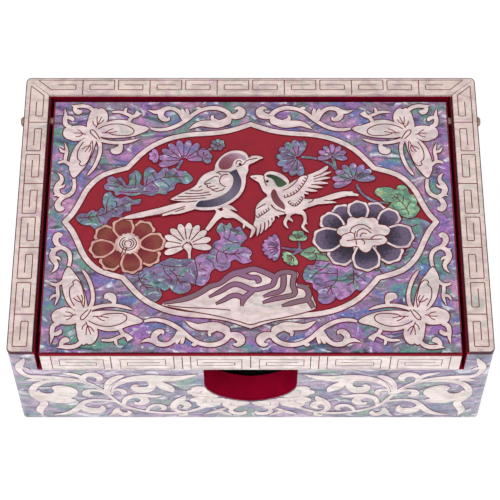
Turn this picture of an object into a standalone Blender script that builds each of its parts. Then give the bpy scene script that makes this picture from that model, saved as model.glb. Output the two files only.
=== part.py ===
"""Business card holder: a lacquered box inlaid with shell, with a lid that turns on two pins.

Metres, +Z up, +X to the right, the front faces -Y. The origin is the centre of the box on the
surface that it stands on.
"""
import math

import bmesh
import bpy
from mathutils import Vector
from mathutils.geometry import delaunay_2d_cdt

# Box
CASE_WIDTH = 0.1100
CASE_DEPTH = 0.0760
CASE_HEIGHT = 0.0350
SIDE_WALL = 0.0062
FRONT_WALL = 0.0068
BACK_WALL = 0.0054
FRONT_WALL_TOP = 0.0264
CORNER_RADIUS = 0.0012
EDGE_BEVEL = 0.0003

# Skins and joints
SHEET = 0.0004
INLAY = 0.0003
GLUE_LINE = 0.0001
BOARD_JOINT = 0.0003
RIM_STRIP = 0.0008

# Bottom
FELT = 0.0010
FELT_PROUD = 0.0004
BASE_BOARD = 0.0035
FLOOR_LINING = 0.0008

# Thumb notch
NOTCH_WIDTH = 0.0216
NOTCH_BOTTOM = 0.0094
NOTCH_POINT = 0.0010
NOTCH_ROUND = 0.0086
NOTCH_STEPS = 24

# Lid
LID_SIDE_GAP = 0.0008
LID_BACK_GAP = 0.0011
LID_SUNK = 0.0007
LID_BOARD = 0.0042
LID_REVEAL = 0.0004
LIP_DEPTH = 0.0056
LIP_SEAT_GAP = 0.0003
BAND_WIDTH = 0.0013
BAND_LAP = 0.00015

# Hinge
PIN_DIAMETER = 0.0024
PIN_PROUD = 0.0011
PIN_IN_LID = 0.0060
PIN_FROM_LID_BACK = 0.0044
BORE_CLEARANCE = 0.0001
BORE_END_GAP = 0.0003
PIN_SIDES = 24
PIN_BEVEL_SHARE = 0.33

# Drawing grids: half width and half depth, or height, in squares
LID_SQUARES = (47.6, 34.4)
FACE_SQUARES = (55.0, 26.0)
RIM_SQUARES = 8.0
WELD_SQUARES = 0.002
STRAIGHT_SQUARES = 0.05
ROUND_END_FROM = 0.35
VINE_HALF_WIDTH_SHARE = 0.030
VINE_SWING_SHARE = 0.27
VINE_CURL_SHARE = 0.2
MILLIMETRE = 0.001
INLAY_MARGIN = 0.0010
PICTURE_GAP = 0.25

# Heights
WALL_BOTTOM = FELT_PROUD
RIM_UNDERSIDE = CASE_HEIGHT - RIM_STRIP
WALL_TOP = RIM_UNDERSIDE - GLUE_LINE
BASE_BOTTOM = FELT + GLUE_LINE
BASE_TOP = BASE_BOTTOM + BASE_BOARD
FLOOR_BOTTOM = BASE_TOP + GLUE_LINE
LID_TOP = CASE_HEIGHT - LID_SUNK
LID_INLAY_BOTTOM = LID_TOP - INLAY
LID_SHEET_TOP = LID_INLAY_BOTTOM - GLUE_LINE
LID_SHEET_BOTTOM = LID_SHEET_TOP - SHEET
LID_BOARD_TOP = LID_SHEET_BOTTOM - GLUE_LINE
LID_BOARD_BOTTOM = LID_BOARD_TOP - LID_BOARD
LIP_BOTTOM = FRONT_WALL_TOP + LIP_SEAT_GAP

# Plan
SKIN = INLAY + GLUE_LINE + SHEET + GLUE_LINE
INNER_X = CASE_WIDTH / 2 - SIDE_WALL
INNER_FRONT = -CASE_DEPTH / 2 + FRONT_WALL
INNER_BACK = CASE_DEPTH / 2 - BACK_WALL
BOARD_X = CASE_WIDTH / 2 - SKIN
BOARD_Y = CASE_DEPTH / 2 - SKIN
LID_X = INNER_X - LID_SIDE_GAP
LID_BACK = INNER_BACK - LID_BACK_GAP
LIP_FRONT = -CASE_DEPTH / 2 + SHEET + GLUE_LINE
LIP_BACK = LIP_FRONT + LIP_DEPTH
LID_SHEET_X = LID_X - LID_REVEAL
LID_SHEET_FRONT = LIP_FRONT + LID_REVEAL
LID_SHEET_BACK = LID_BACK - LID_REVEAL
LID_SHEET_MIDDLE = (LID_SHEET_FRONT + LID_SHEET_BACK) / 2
PIN_RADIUS = PIN_DIAMETER / 2
PIN_Y = LID_BACK - PIN_FROM_LID_BACK
PIN_Z = LID_BOARD_TOP - LID_BOARD / 2
PIN_OUTER = CASE_WIDTH / 2 + PIN_PROUD
PIN_INNER = LID_X - PIN_IN_LID


def clear_scene():
    """Start from an empty scene."""
    for old in list(bpy.data.objects):
        bpy.data.objects.remove(old, do_unlink=True)


def new_collection(name):
    """A collection linked to the scene."""
    collection = bpy.data.collections.new(name)
    bpy.context.scene.collection.children.link(collection)
    return collection


def finish(name, colour, roughness, metallic=0.0):
    """A plain Principled material."""
    material = bpy.data.materials.new(name)
    material.use_nodes = True
    shader = material.node_tree.nodes["Principled BSDF"]
    shader.inputs["Base Color"].default_value = (*colour, 1.0)
    shader.inputs["Roughness"].default_value = roughness
    shader.inputs["Metallic"].default_value = metallic
    return material


clear_scene()
PARTS = new_collection("business_card_holder")
CUTTERS = new_collection("cutters")
LACQUER = finish("red_lacquer", (0.25, 0.004, 0.02), 0.25)
PICTURE_LACQUER = finish("picture_red_lacquer", (0.36, 0.022, 0.035), 0.3)
ABALONE = finish("abalone_shell", (0.30, 0.20, 0.29), 0.3)
PEARL = finish("mother_of_pearl", (0.75, 0.67, 0.62), 0.3)
ROSE_SHELL = finish("rose_brown_shell", (0.26, 0.06, 0.05), 0.35)
VIOLET_SHELL = finish("violet_shell", (0.12, 0.08, 0.14), 0.35)
BRASS = finish("brass", (0.55, 0.38, 0.22), 0.35, 1.0)
FLOCK = finish("black_flock", (0.012, 0.009, 0.013), 0.95)
FELT_BLACK = finish("black_felt", (0.02, 0.02, 0.02), 0.95)
LID_AXIS = bpy.data.objects.new("lid_hinge_axis", None)
LID_AXIS.location = (0.0, PIN_Y, PIN_Z)
CUTTERS.objects.link(LID_AXIS)
LID_AXIS_SHIFT = Vector((0.0, PIN_Y, PIN_Z))


def keep(item, name, material, on_lid=False):
    """Name an object, give it its material and put it with the parts."""
    item.name = name
    item.data.name = name
    for collection in list(item.users_collection):
        collection.objects.unlink(item)
    PARTS.objects.link(item)
    item.data.materials.clear()
    item.data.materials.append(material)
    if on_lid:
        item.parent = LID_AXIS
        item.location = item.location - LID_AXIS_SHIFT
    return item


def cube(low, high):
    """A box between two corners, with its scale in its mesh."""
    middle = [(a + b) / 2 for a, b in zip(low, high)]
    bpy.ops.mesh.primitive_cube_add(size=1, location=middle)
    item = bpy.context.object
    sizes = [b - a for a, b in zip(low, high)]
    for vertex in item.data.vertices:
        vertex.co = Vector(c * s for c, s in zip(vertex.co, sizes))
    return item


def bevel(item, width=EDGE_BEVEL, segments=1):
    """Break the sharp edges of a board."""
    modifier = item.modifiers.new("bevel", "BEVEL")
    modifier.width = width
    modifier.segments = segments
    modifier.limit_method = "ANGLE"
    return item


def cutter(item, name):
    """Turn an object into a cutter, which isn't part of the model."""
    item.name = name
    item.hide_render = True
    item.display_type = "WIRE"
    for collection in list(item.users_collection):
        collection.objects.unlink(item)
    CUTTERS.objects.link(item)
    return item


def cut(item, tool):
    """Subtract a cutter from a part."""
    modifier = item.modifiers.new("cut_" + tool.name, "BOOLEAN")
    modifier.operation = "DIFFERENCE"
    modifier.solver = "EXACT"
    modifier.object = tool
    return item


def rod(radius, x_from, x_to):
    """A round rod on the pins' axis."""
    bpy.ops.mesh.primitive_cylinder_add(
        vertices=PIN_SIDES,
        radius=radius,
        depth=abs(x_to - x_from),
        location=((x_from + x_to) / 2, PIN_Y, PIN_Z),
        rotation=(0.0, math.pi / 2, 0.0),
    )
    return bpy.context.object


def arc(centre, radius, start, end, steps=6):
    """Points on an arc, angles in degrees."""
    angles = [math.radians(start + (end - start) * i / steps) for i in range(steps + 1)]
    return [(centre[0] + radius * math.cos(a), centre[1] + radius * math.sin(a)) for a in angles]


def plate(outlines, thickness):
    """A flat outline, with holes where further outlines are given, lying at its own middle height."""
    curve = bpy.data.curves.new("plate", "CURVE")
    curve.dimensions = "2D"
    curve.fill_mode = "BOTH"
    curve.extrude = thickness / 2
    for outline in outlines:
        spline = curve.splines.new("POLY")
        spline.points.add(len(outline) - 1)
        spline.use_cyclic_u = True
        for point, (x, y) in zip(spline.points, outline):
            point.co = (x, y, 0.0, 1.0)
    flat = bpy.data.objects.new("plate", curve)
    CUTTERS.objects.link(flat)
    bpy.context.view_layer.update()
    evaluated = flat.evaluated_get(bpy.context.evaluated_depsgraph_get())
    mesh = bpy.data.meshes.new_from_object(evaluated)
    bpy.data.objects.remove(flat, do_unlink=True)
    shape = bmesh.new()
    shape.from_mesh(mesh)
    bmesh.ops.remove_doubles(shape, verts=shape.verts, dist=1e-7)
    bmesh.ops.recalc_face_normals(shape, faces=shape.faces)
    shape.to_mesh(mesh)
    shape.free()
    item = bpy.data.objects.new("plate", mesh)
    PARTS.objects.link(item)
    return item


def smooth_path(points, closed=False, steps=3):
    """A Catmull-Rom curve through points of any number of values."""
    count = len(points)
    spans = count if closed else count - 1
    result = []
    for i in range(spans):
        if closed:
            a, b, c, d = (points[(i + k) % count] for k in (-1, 0, 1, 2))
        else:
            a, b, c, d = (points[min(max(i + k, 0), count - 1)] for k in (-1, 0, 1, 2))
        for step in range(steps):
            t = step / steps
            result.append(tuple(
                0.5 * (2 * q + (r - p) * t + (2 * p - 5 * q + 4 * r - s) * t * t
                       + (3 * q - p - 3 * r + s) * t ** 3)
                for p, q, r, s in zip(a, b, c, d)
            ))
    if not closed:
        result.append(tuple(points[-1]))
    return result


def disc(x, y, radius_x, radius_y=None, sides=12, turn=0.0):
    """An ellipse, turned by an angle in degrees."""
    radius_y = radius_y or radius_x
    cos_turn = math.cos(math.radians(turn))
    sin_turn = math.sin(math.radians(turn))
    points = []
    for i in range(sides):
        a = 2 * math.pi * i / sides
        u = radius_x * math.cos(a)
        v = radius_y * math.sin(a)
        points.append((x + u * cos_turn - v * sin_turn, y + u * sin_turn + v * cos_turn))
    return points


def stroke(points, steps=2):
    """A swelling line through (x, y, half width), as overlapping convex pieces."""
    samples = smooth_path(points, steps=steps)
    sides = []
    for i, (x, y, half) in enumerate(samples):
        before = samples[max(i - 1, 0)]
        after = samples[min(i + 1, len(samples) - 1)]
        run_x = after[0] - before[0]
        run_y = after[1] - before[1]
        length = math.hypot(run_x, run_y) or 1.0
        across = (-run_y / length * half, run_x / length * half)
        sides.append(((x + across[0], y + across[1]), (x - across[0], y - across[1])))
    pieces = []
    for (left_a, right_a), (left_b, right_b) in zip(sides, sides[1:]):
        pieces.append([left_a, right_a, right_b, left_b])
    for x, y, half in (samples[0], samples[-1]):
        if half > ROUND_END_FROM:
            pieces.append(disc(x, y, half, sides=8))
    return pieces


def strokes(*lines):
    """Several swelling lines."""
    return [piece for line in lines for piece in stroke(line)]


def mirrored(pieces, flip_x, flip_y=1):
    """The same pieces mirrored."""
    return [[(x * flip_x, y * flip_y) for x, y in piece] for piece in pieces]


def turned_left(outline):
    """An outline whose points run anticlockwise."""
    area = sum(a[0] * b[1] - b[0] * a[1] for a, b in zip(outline, outline[1:] + outline[:1]))
    return outline if area > 0 else outline[::-1]


def convex(outline):
    """Sort the corners of a small piece round its middle, so that it never crosses itself."""
    if len(outline) != 4:
        return turned_left(outline)
    mx = sum(p[0] for p in outline) / 4
    my = sum(p[1] for p in outline) / 4
    return sorted(outline, key=lambda p: math.atan2(p[1] - my, p[0] - mx))


def union_triangles(adds, cuts):
    """Triangles, as corner indices, of the union of the adds less the cuts, and their points."""
    outlines = [convex(list(o)) for o in adds] + [turned_left(list(o)) for o in cuts]
    points = []
    faces = []
    for outline in outlines:
        faces.append(list(range(len(points), len(points) + len(outline))))
        points.extend(Vector(p) for p in outline)
    flat, _, triangles, _, _, sources = delaunay_2d_cdt(points, [], faces, 0, WELD_SQUARES)
    first_cut = len(adds)
    kept = [
        triangle for triangle, source in zip(triangles, sources)
        if any(s < first_cut for s in source) and not any(s >= first_cut for s in source)
    ]
    return flat, kept


def edge_loops(triangles):
    """Closed loops of corner indices round a set of triangles."""
    runs = {(t[i], t[(i + 1) % 3]) for t in triangles for i in range(3)}
    rim = sorted((a, b) for a, b in runs if (b, a) not in runs)
    onward = dict(rim)
    if len(onward) < len(rim):
        raise ValueError("an inlaid piece touches itself at a single point")
    loops = []
    while onward:
        loop = []
        here = min(onward)
        while here in onward:
            loop.append(here)
            here = onward.pop(here)
        loops.append(loop)
    return loops


def straightened(loop):
    """A loop without the points that lie on a straight run."""
    result = list(loop)
    i = 0
    while i < len(result) and len(result) > 3:
        before = result[i - 1]
        here = result[i]
        after = result[(i + 1) % len(result)]
        chord = after - before
        off = abs(chord.cross(here - before)) / max(chord.length, WELD_SQUARES)
        if off < STRAIGHT_SQUARES:
            result.pop(i)
        else:
            i += 1
    return result


def inside_all(point, loops):
    """Even-odd test of a point in several loops."""
    crossings = 0
    for loop in loops:
        for a, b in zip(loop, loop[1:] + loop[:1]):
            if (a.y > point.y) != (b.y > point.y):
                x = a.x + (point.y - a.y) * (b.x - a.x) / (b.y - a.y)
                crossings += x > point.x
    return crossings % 2 == 1


def union_mesh(name, adds, cuts, place, thickness):
    """One flat solid from the union of outlines, less the cuts, put where place() says."""
    flat, kept = union_triangles(adds, cuts)
    loops = [straightened([flat[i] for i in loop]) for loop in edge_loops(kept)]
    points = []
    edges = []
    for loop in loops:
        first = len(points)
        count = len(loop)
        edges += [(first + i, first + (i + 1) % count) for i in range(count)]
        points += loop
    flat, _, triangles, _, _, _ = delaunay_2d_cdt(points, edges, [], 0, WELD_SQUARES / 10)
    shape = bmesh.new()
    vertices = [shape.verts.new((p.x, p.y, 0.0)) for p in flat]
    for triangle in triangles:
        middle = sum((flat[i] for i in triangle), Vector((0.0, 0.0))) / 3
        if inside_all(middle, loops):
            shape.faces.new([vertices[i] for i in triangle])
    base = list(shape.verts)
    grown = bmesh.ops.extrude_face_region(shape, geom=shape.faces[:], use_keep_orig=True)
    top = [g for g in grown["geom"] if isinstance(g, bmesh.types.BMVert)]
    for vertex in base:
        vertex.co = place(vertex.co.x, vertex.co.y, 0.0)
    for vertex in top:
        vertex.co = place(vertex.co.x, vertex.co.y, thickness)
    bmesh.ops.recalc_face_normals(shape, faces=shape.faces)
    mesh = bpy.data.meshes.new(name)
    shape.to_mesh(mesh)
    shape.free()
    return mesh


def inlay(name, material, adds, place, cuts=(), on_lid=False):
    """An inlaid piece cut from a flat sheet."""
    mesh = union_mesh(name, adds, cuts, place, INLAY)
    item = bpy.data.objects.new(name, mesh)
    PARTS.objects.link(item)
    return keep(item, name, material, on_lid)


def on_lid_sheet(x, y, rise):
    """From the squares of the lid's drawing to its place on the sheet."""
    half_depth = (LID_SHEET_BACK - LID_SHEET_FRONT) / 2
    return Vector((
        x * LID_SHEET_X / LID_SQUARES[0],
        LID_SHEET_MIDDLE + y * half_depth / LID_SQUARES[1],
        LID_INLAY_BOTTOM + rise,
    ))


def face_height(squares):
    """Height of a square on a wall: to the front wall's top, and from there to the rim."""
    rows = FACE_SQUARES[1]
    if squares <= rows:
        return WALL_BOTTOM + squares * (FRONT_WALL_TOP - WALL_BOTTOM) / rows
    return FRONT_WALL_TOP + (squares - rows) * (WALL_TOP - FRONT_WALL_TOP) / RIM_SQUARES


def on_front(x, y, rise):
    """From the squares of the front's drawing to its place."""
    out = -CASE_DEPTH / 2 + INLAY - rise
    return Vector((x * CASE_WIDTH / 2 / FACE_SQUARES[0], out, face_height(y)))


def cartouche(grow=0.0, steps=3):
    """The picture's border, as squares of the lid's drawing, grown outwards by grow."""
    quarter = [(0, 27.8), (5, 25.9), (10, 25.1), (15, 24.7), (20, 23.4), (25, 20.4), (29.5, 15.1)]
    side = [(29.5, 15.1), (35, 13.2), (38.5, 9.6), (40.5, 5.2), (42.2, 2.2), (44.3, 0)]
    corner = smooth_path(quarter, steps=steps) + smooth_path(side, steps=steps)[1:]
    lower = [(x, -y) for x, y in reversed(corner)][1:]
    right = corner + lower
    left = [(-x, y) for x, y in reversed(right)][1:-1]
    loop = right + left
    if not grow:
        return loop
    grown = []
    for i, (x, y) in enumerate(loop):
        before = loop[i - 1]
        after = loop[(i + 1) % len(loop)]
        run = Vector((after[0] - before[0], after[1] - before[1])).normalized()
        grown.append((x - run.y * grow, y + run.x * grow))
    return grown


def make_bottom():
    """Felt, bottom board and floor of the card compartment."""
    x = INNER_X - BOARD_JOINT
    front = INNER_FRONT + BOARD_JOINT
    back = INNER_BACK - BOARD_JOINT
    keep(cube((-x, front, 0.0), (x, back, FELT)), "base_felt", FELT_BLACK)
    board = cube((-x, front, BASE_BOTTOM), (x, back, BASE_TOP))
    keep(bevel(board), "base_board", LACQUER)
    lining = cube((-x, front, FLOOR_BOTTOM), (x, back, FLOOR_BOTTOM + FLOOR_LINING))
    keep(lining, "floor_lining", FLOCK)


def notch_outline(grow=0.0, above=0.0):
    """The thumb notch seen from the front: straight sides, a round and a slight point below."""
    half = NOTCH_WIDTH / 2 + grow
    round_from = NOTCH_BOTTOM + NOTCH_POINT + NOTCH_ROUND
    points = []
    for i in range(NOTCH_STEPS + 1):
        a = math.pi * i / NOTCH_STEPS
        x = half * math.cos(a)
        z = round_from - (NOTCH_ROUND + grow) * math.sin(a) - NOTCH_POINT * (1 - abs(x) / half)
        points.append((x, z))
    top = FRONT_WALL_TOP + above
    return [(half, top)] + points + [(-half, top)]


def make_notch_cutter():
    """A solid of the notch's outline, right through the front wall and its skins."""
    outline = notch_outline(above=FRONT_WALL / 2)
    depth = 3 * FRONT_WALL
    item = plate([outline], depth)
    for vertex in item.data.vertices:
        x, z, y = vertex.co
        vertex.co = (x, -CASE_DEPTH / 2 + y, z)
    shape = bmesh.new()
    shape.from_mesh(item.data)
    bmesh.ops.recalc_face_normals(shape, faces=shape.faces)
    shape.to_mesh(item.data)
    shape.free()
    return cutter(item, "notch_cutter")


def make_bore_cutter(name, radius):
    """A rod through both side walls and the ends of the lid, on the pins' axis."""
    return cutter(rod(radius, -CASE_WIDTH, CASE_WIDTH), name)


def make_walls(notch, bore):
    """The four boards, the side ones with a bore for their pin."""
    between = INNER_X - BOARD_JOINT
    front = cube((-between, -BOARD_Y, WALL_BOTTOM), (between, INNER_FRONT, FRONT_WALL_TOP))
    keep(cut(front, notch), "front_wall", LACQUER)
    back = cube((-between, INNER_BACK, WALL_BOTTOM), (between, BOARD_Y, WALL_TOP))
    keep(back, "back_wall", LACQUER)
    left = cube((-BOARD_X, -BOARD_Y, WALL_BOTTOM), (-INNER_X, BOARD_Y, WALL_TOP))
    keep(cut(left, bore), "left_wall", LACQUER)
    right = cube((INNER_X, -BOARD_Y, WALL_BOTTOM), (BOARD_X, BOARD_Y, WALL_TOP))
    keep(cut(right, bore), "right_wall", LACQUER)


def sheet_outline(side):
    """Plan of the sheet on one face, wrapped round half of each corner; side counts quarter turns."""
    proud = INLAY + GLUE_LINE
    half = (CASE_WIDTH / 2 - proud, CASE_DEPTH / 2 - proud)
    outer = CORNER_RADIUS - proud
    inner = max(outer - SHEET, SHEET / 4)
    seam = math.degrees(GLUE_LINE / 2 / inner)
    along, out = half if side % 2 == 0 else half[::-1]
    left = (-(along - outer), -(out - outer))
    right = (along - outer, -(out - outer))
    path = arc(left, outer, 225 + seam, 270, 4) + arc(right, outer, 270, 315 - seam, 4)
    path += arc(right, inner, 315 - seam, 270, 4) + arc(left, inner, 270, 225 + seam, 4)
    turn = math.radians(90 * side)
    cos_turn = round(math.cos(turn))
    sin_turn = round(math.sin(turn))
    return [(x * cos_turn - y * sin_turn, x * sin_turn + y * cos_turn) for x, y in path]


def make_wall_sheets(notch, bore):
    """The abalone sheets on the four outer faces."""
    lid_way = cube(
        (-INNER_X, -CASE_DEPTH, FRONT_WALL_TOP),
        (INNER_X, 0.0, 2 * CASE_HEIGHT),
    )
    lid_way = cutter(lid_way, "lid_way_cutter")
    for side, name in enumerate(("shell_front", "shell_right", "shell_back", "shell_left")):
        item = plate([sheet_outline(side)], WALL_TOP - WALL_BOTTOM)
        item.location.z = (WALL_TOP + WALL_BOTTOM) / 2
        if name == "shell_front":
            cut(item, notch)
            cut(item, lid_way)
        elif name != "shell_back":
            cut(item, bore)
        keep(item, name, ABALONE)


def make_rim():
    """Mother-of-pearl strips on the three high walls, mitred at the back corners."""
    x = CASE_WIDTH / 2
    y = CASE_DEPTH / 2
    r = CORNER_RADIUS
    seam = math.degrees(GLUE_LINE / 2 / r)
    middle = CASE_HEIGHT - RIM_STRIP / 2
    side = [(INNER_X, -y)]
    side += arc((x - r, -y + r), r, 270, 360)
    side += arc((x - r, y - r), r, 0, 45 - seam, 3)
    side += [(INNER_X, INNER_BACK - GLUE_LINE)]
    for name, flip in (("rim_strip_right", 1), ("rim_strip_left", -1)):
        item = plate([[(px * flip, py) for px, py in side]], RIM_STRIP)
        item.location.z = middle
        keep(item, name, PEARL)
    back = [(INNER_X - GLUE_LINE, INNER_BACK)]
    back += arc((x - r, y - r), r, 45 + seam, 90, 3)
    back += arc((-x + r, y - r), r, 90, 135 - seam, 3)
    back += [(-INNER_X + GLUE_LINE, INNER_BACK)]
    item = plate([back], RIM_STRIP)
    item.location.z = middle
    keep(item, "rim_strip_back", PEARL)


def make_pins():
    """Two brass pins in the side walls, with broken edges at their ends."""
    for name, flip in (("hinge_pin_left", -1), ("hinge_pin_right", 1)):
        item = rod(PIN_RADIUS, flip * PIN_INNER, flip * PIN_OUTER)
        bevel(item, PIN_RADIUS * PIN_BEVEL_SHARE)
        item.data.shade_smooth()
        item.data.set_sharp_from_angle(angle=math.radians(30))
        keep(item, name, BRASS)


def make_lid():
    """Board, lip rail, skins and picture ground of the lid."""
    board = cube(
        (-LID_X, LIP_BACK + GLUE_LINE, LID_BOARD_BOTTOM),
        (LID_X, LID_BACK, LID_BOARD_TOP),
    )
    far = PIN_INNER - BORE_END_GAP
    core = cube(
        (-far, PIN_Y - PIN_DIAMETER, PIN_Z - PIN_DIAMETER),
        (far, PIN_Y + PIN_DIAMETER, PIN_Z + PIN_DIAMETER),
    )
    core = cutter(core, "blind_end_guide")
    blind = cut(make_bore_cutter("lid_bore_cutter", PIN_RADIUS + BORE_CLEARANCE), core)
    keep(cut(board, blind), "lid_board", LACQUER, on_lid=True)
    lip = cube((-LID_X, LIP_FRONT, LIP_BOTTOM), (LID_X, LIP_BACK, LID_BOARD_TOP))
    keep(bevel(lip), "lid_lip", LACQUER, on_lid=True)
    strip = cube(
        (-LID_SHEET_X, -CASE_DEPTH / 2, LIP_BOTTOM),
        (LID_SHEET_X, LIP_FRONT - GLUE_LINE, LID_SHEET_TOP),
    )
    keep(strip, "lip_strip", PEARL, on_lid=True)
    corners = [
        (LID_SHEET_X, LID_SHEET_FRONT), (LID_SHEET_X, LID_SHEET_BACK),
        (-LID_SHEET_X, LID_SHEET_BACK), (-LID_SHEET_X, LID_SHEET_FRONT),
    ]
    square = LID_SHEET_X / LID_SQUARES[0]
    lap = BAND_LAP / square
    level = (LID_SHEET_TOP + LID_SHEET_BOTTOM) / 2
    opening = [on_lid_sheet(x, y, 0.0).xy for x, y in cartouche(lap)]
    sheet = plate([corners, opening], SHEET)
    sheet.location.z = level
    keep(sheet, "lid_shell", ABALONE, on_lid=True)
    ground = plate([[on_lid_sheet(x, y, 0.0).xy for x, y in cartouche(-lap)]], SHEET)
    ground.location.z = level
    keep(ground, "picture_ground", PICTURE_LACQUER, on_lid=True)
    half = BAND_WIDTH / 2 / square
    inlay("cartouche_band", PEARL, [cartouche(half)], on_lid_sheet, [cartouche(-half)], True)


def butterfly():
    """A corner butterfly, for the corner at the back on the right."""
    inner_wing = [
        (36.8, 26.4), (33, 28.7), (30, 28.9), (27.5, 28.1), (25, 26.9),
        (26.5, 25.2), (29, 24.3), (32.5, 24.0), (36, 24.2),
    ]
    side_wing = [
        (39.4, 23.6), (41.8, 21.2), (43.2, 18.0), (43.2, 15.0), (42.2, 12.2),
        (40.6, 14.2), (39, 17.6), (37.8, 20.8), (37.4, 23.4),
    ]
    pieces = [
        smooth_path(inner_wing, closed=True, steps=2),
        smooth_path(side_wing, closed=True, steps=2),
        disc(37.4, 29.4, 2.2, 3.6),
        disc(42.0, 25.0, 3.5, 2.1),
        disc(38.2, 24.8, 2.6, 1.7, turn=45),
    ]
    pieces += strokes(
        [(36.4, 23.6, 0.5), (33.5, 22.4, 0.45), (30, 22.7, 0.4), (27, 23.6, 0.15)],
        [(36.9, 23.0, 0.5), (36.0, 20, 0.45), (37.0, 16.5, 0.4), (38.8, 13.6, 0.15)],
        [(38.0, 31.8, 0.5), (40.8, 33.0, 0.5), (43.4, 33.0, 0.15)],
        [(44.2, 26.0, 0.5), (45.4, 28.8, 0.5), (45.2, 31.8, 0.15)],
    )
    pieces.append(disc(32.0, 20.6, 1.3))
    pieces += strokes([(32.4, 22.4, 0.4), (31.2, 20.8, 0.5)])
    return pieces


def edge_scroll():
    """The scroll between a butterfly and the middle of a long edge."""
    return strokes(
        [(24.0, 26.5, 0.35), (21.5, 26.1, 0.45), (19, 26.3, 0.5), (16.3, 28.0, 0.55),
         (13.8, 30.4, 0.55), (11.3, 32.0, 0.6), (8.5, 32.6, 0.6), (6, 31.8, 0.6),
         (5.2, 30.1, 0.6), (6.2, 28.5, 0.8), (8.8, 27.7, 0.9), (11.5, 27.3, 0.8),
         (14.7, 26.6, 0.15)],
        [(5.2, 30.2, 0.5), (3.6, 29.7, 0.7), (2.4, 30.6, 0.9), (2.9, 31.9, 0.7)],
        [(8.8, 27.7, 0.6), (9.9, 29.0, 0.5), (9.0, 30.2, 0.4)],
        [(16.4, 28.4, 0.5), (16.7, 30.8, 0.6), (18.4, 32.3, 0.7), (20.8, 32.5, 0.7),
         (22.8, 31.9, 0.6), (24.8, 31.6, 0.15)],
        [(22.4, 31.8, 0.6), (22.1, 30.1, 0.7), (20.7, 29.4, 0.7)],
    )


def end_scroll():
    """The small scroll between a butterfly and the middle of a short edge."""
    return strokes(
        [(42.4, 11.4, 0.35), (42.5, 9.4, 0.5), (43.2, 7.5, 0.5), (44.8, 6.3, 0.6),
         (45.3, 4.6, 0.7), (44.3, 3.5, 0.6)],
        [(44.9, 6.6, 0.5), (46.1, 8.4, 0.7), (45.3, 10.2, 0.7), (45.2, 12.0, 0.5),
         (46.0, 14.0, 0.15)],
    )


def make_lid_corners():
    """Butterflies and scrolls in the four corners of the lid."""
    ends = (("back", 1), ("front", -1))
    for end, flip_y in ends:
        for hand, flip_x in (("right", 1), ("left", -1)):
            tag = end + "_" + hand
            for name, pieces in (
                ("butterfly_", butterfly()),
                ("edge_scroll_", edge_scroll()),
                ("end_scroll_", end_scroll()),
            ):
                drawn = mirrored(pieces, flip_x, flip_y)
                inlay(name + tag, PEARL, drawn, on_lid_sheet, on_lid=True)


def flower(x, y, size_x, size_y, count, start, grow=0.0):
    """Round petals set in a ring."""
    pieces = [disc(x, y, 0.62 * size_x + grow, 0.62 * size_y + grow, sides=18)]
    for i in range(count):
        angle = start + 360.0 * i / count
        cos_a = math.cos(math.radians(angle))
        sin_a = math.sin(math.radians(angle))
        px = x + 0.66 * size_x * cos_a
        py = y + 0.66 * size_y * sin_a
        pieces.append(disc(px, py, 0.34 * size_x + grow, 0.27 * size_x + grow, turn=angle))
    return pieces


def fan(x, y, length, start, end, count, half_width):
    """Petals spread from one point like a half-open daisy, angles in degrees."""
    pieces = [disc(x, y, 2.2 * half_width)]
    for i in range(count):
        angle = math.radians(start + (end - start) * i / (count - 1))
        cos_a = math.cos(angle)
        sin_a = math.sin(angle)
        pieces += stroke([
            (x, y, 0.5 * half_width),
            (x + 0.55 * length * cos_a, y + 0.55 * length * sin_a, half_width),
            (x + length * cos_a, y + length * sin_a, 0.3 * half_width),
        ])
    return pieces


ROSE_FLOWER = (-28.5, -6.8, 8.3, 5.9, 9, 90)
VIOLET_FLOWER = (26.0, -3.9, 11.2, 7.3, 10, 90)
HEART = (26.5, -3.5, 6.3, 4.1, 7, 90)
DAISY = (-14.5, -8.4, 6.2, 20, 165, 9, 0.95)


def left_bird():
    """The bird that stands on a branch."""
    body = [
        (2.6, 18.2), (0.2, 19.4), (-3.2, 20.2), (-6.4, 18.8), (-8.4, 15.6), (-11.6, 12.2),
        (-15.4, 8.8), (-18.6, 5.4), (-13.4, 3.2), (-8.8, 3.4), (-4.8, 5.8), (-2.4, 9.6),
        (-1.8, 13.4), (-0.6, 16.6),
    ]
    return [smooth_path(body, closed=True, steps=2)] + strokes(
        [(-16, 6, 1.3), (-22, 3.4, 1.2), (-28.6, 1.4, 0.5)],
        [(-15.5, 5.2, 1.0), (-20.5, 2.0, 0.9), (-24.5, 0.0, 0.3)],
        [(-9, 4.0, 0.4), (-9.6, 0.6, 0.35), (-8.4, -1.2, 0.35)],
        [(-6, 5.0, 0.4), (-4, 1.2, 0.35), (-0.8, -3.4, 0.35)],
    )


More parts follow.
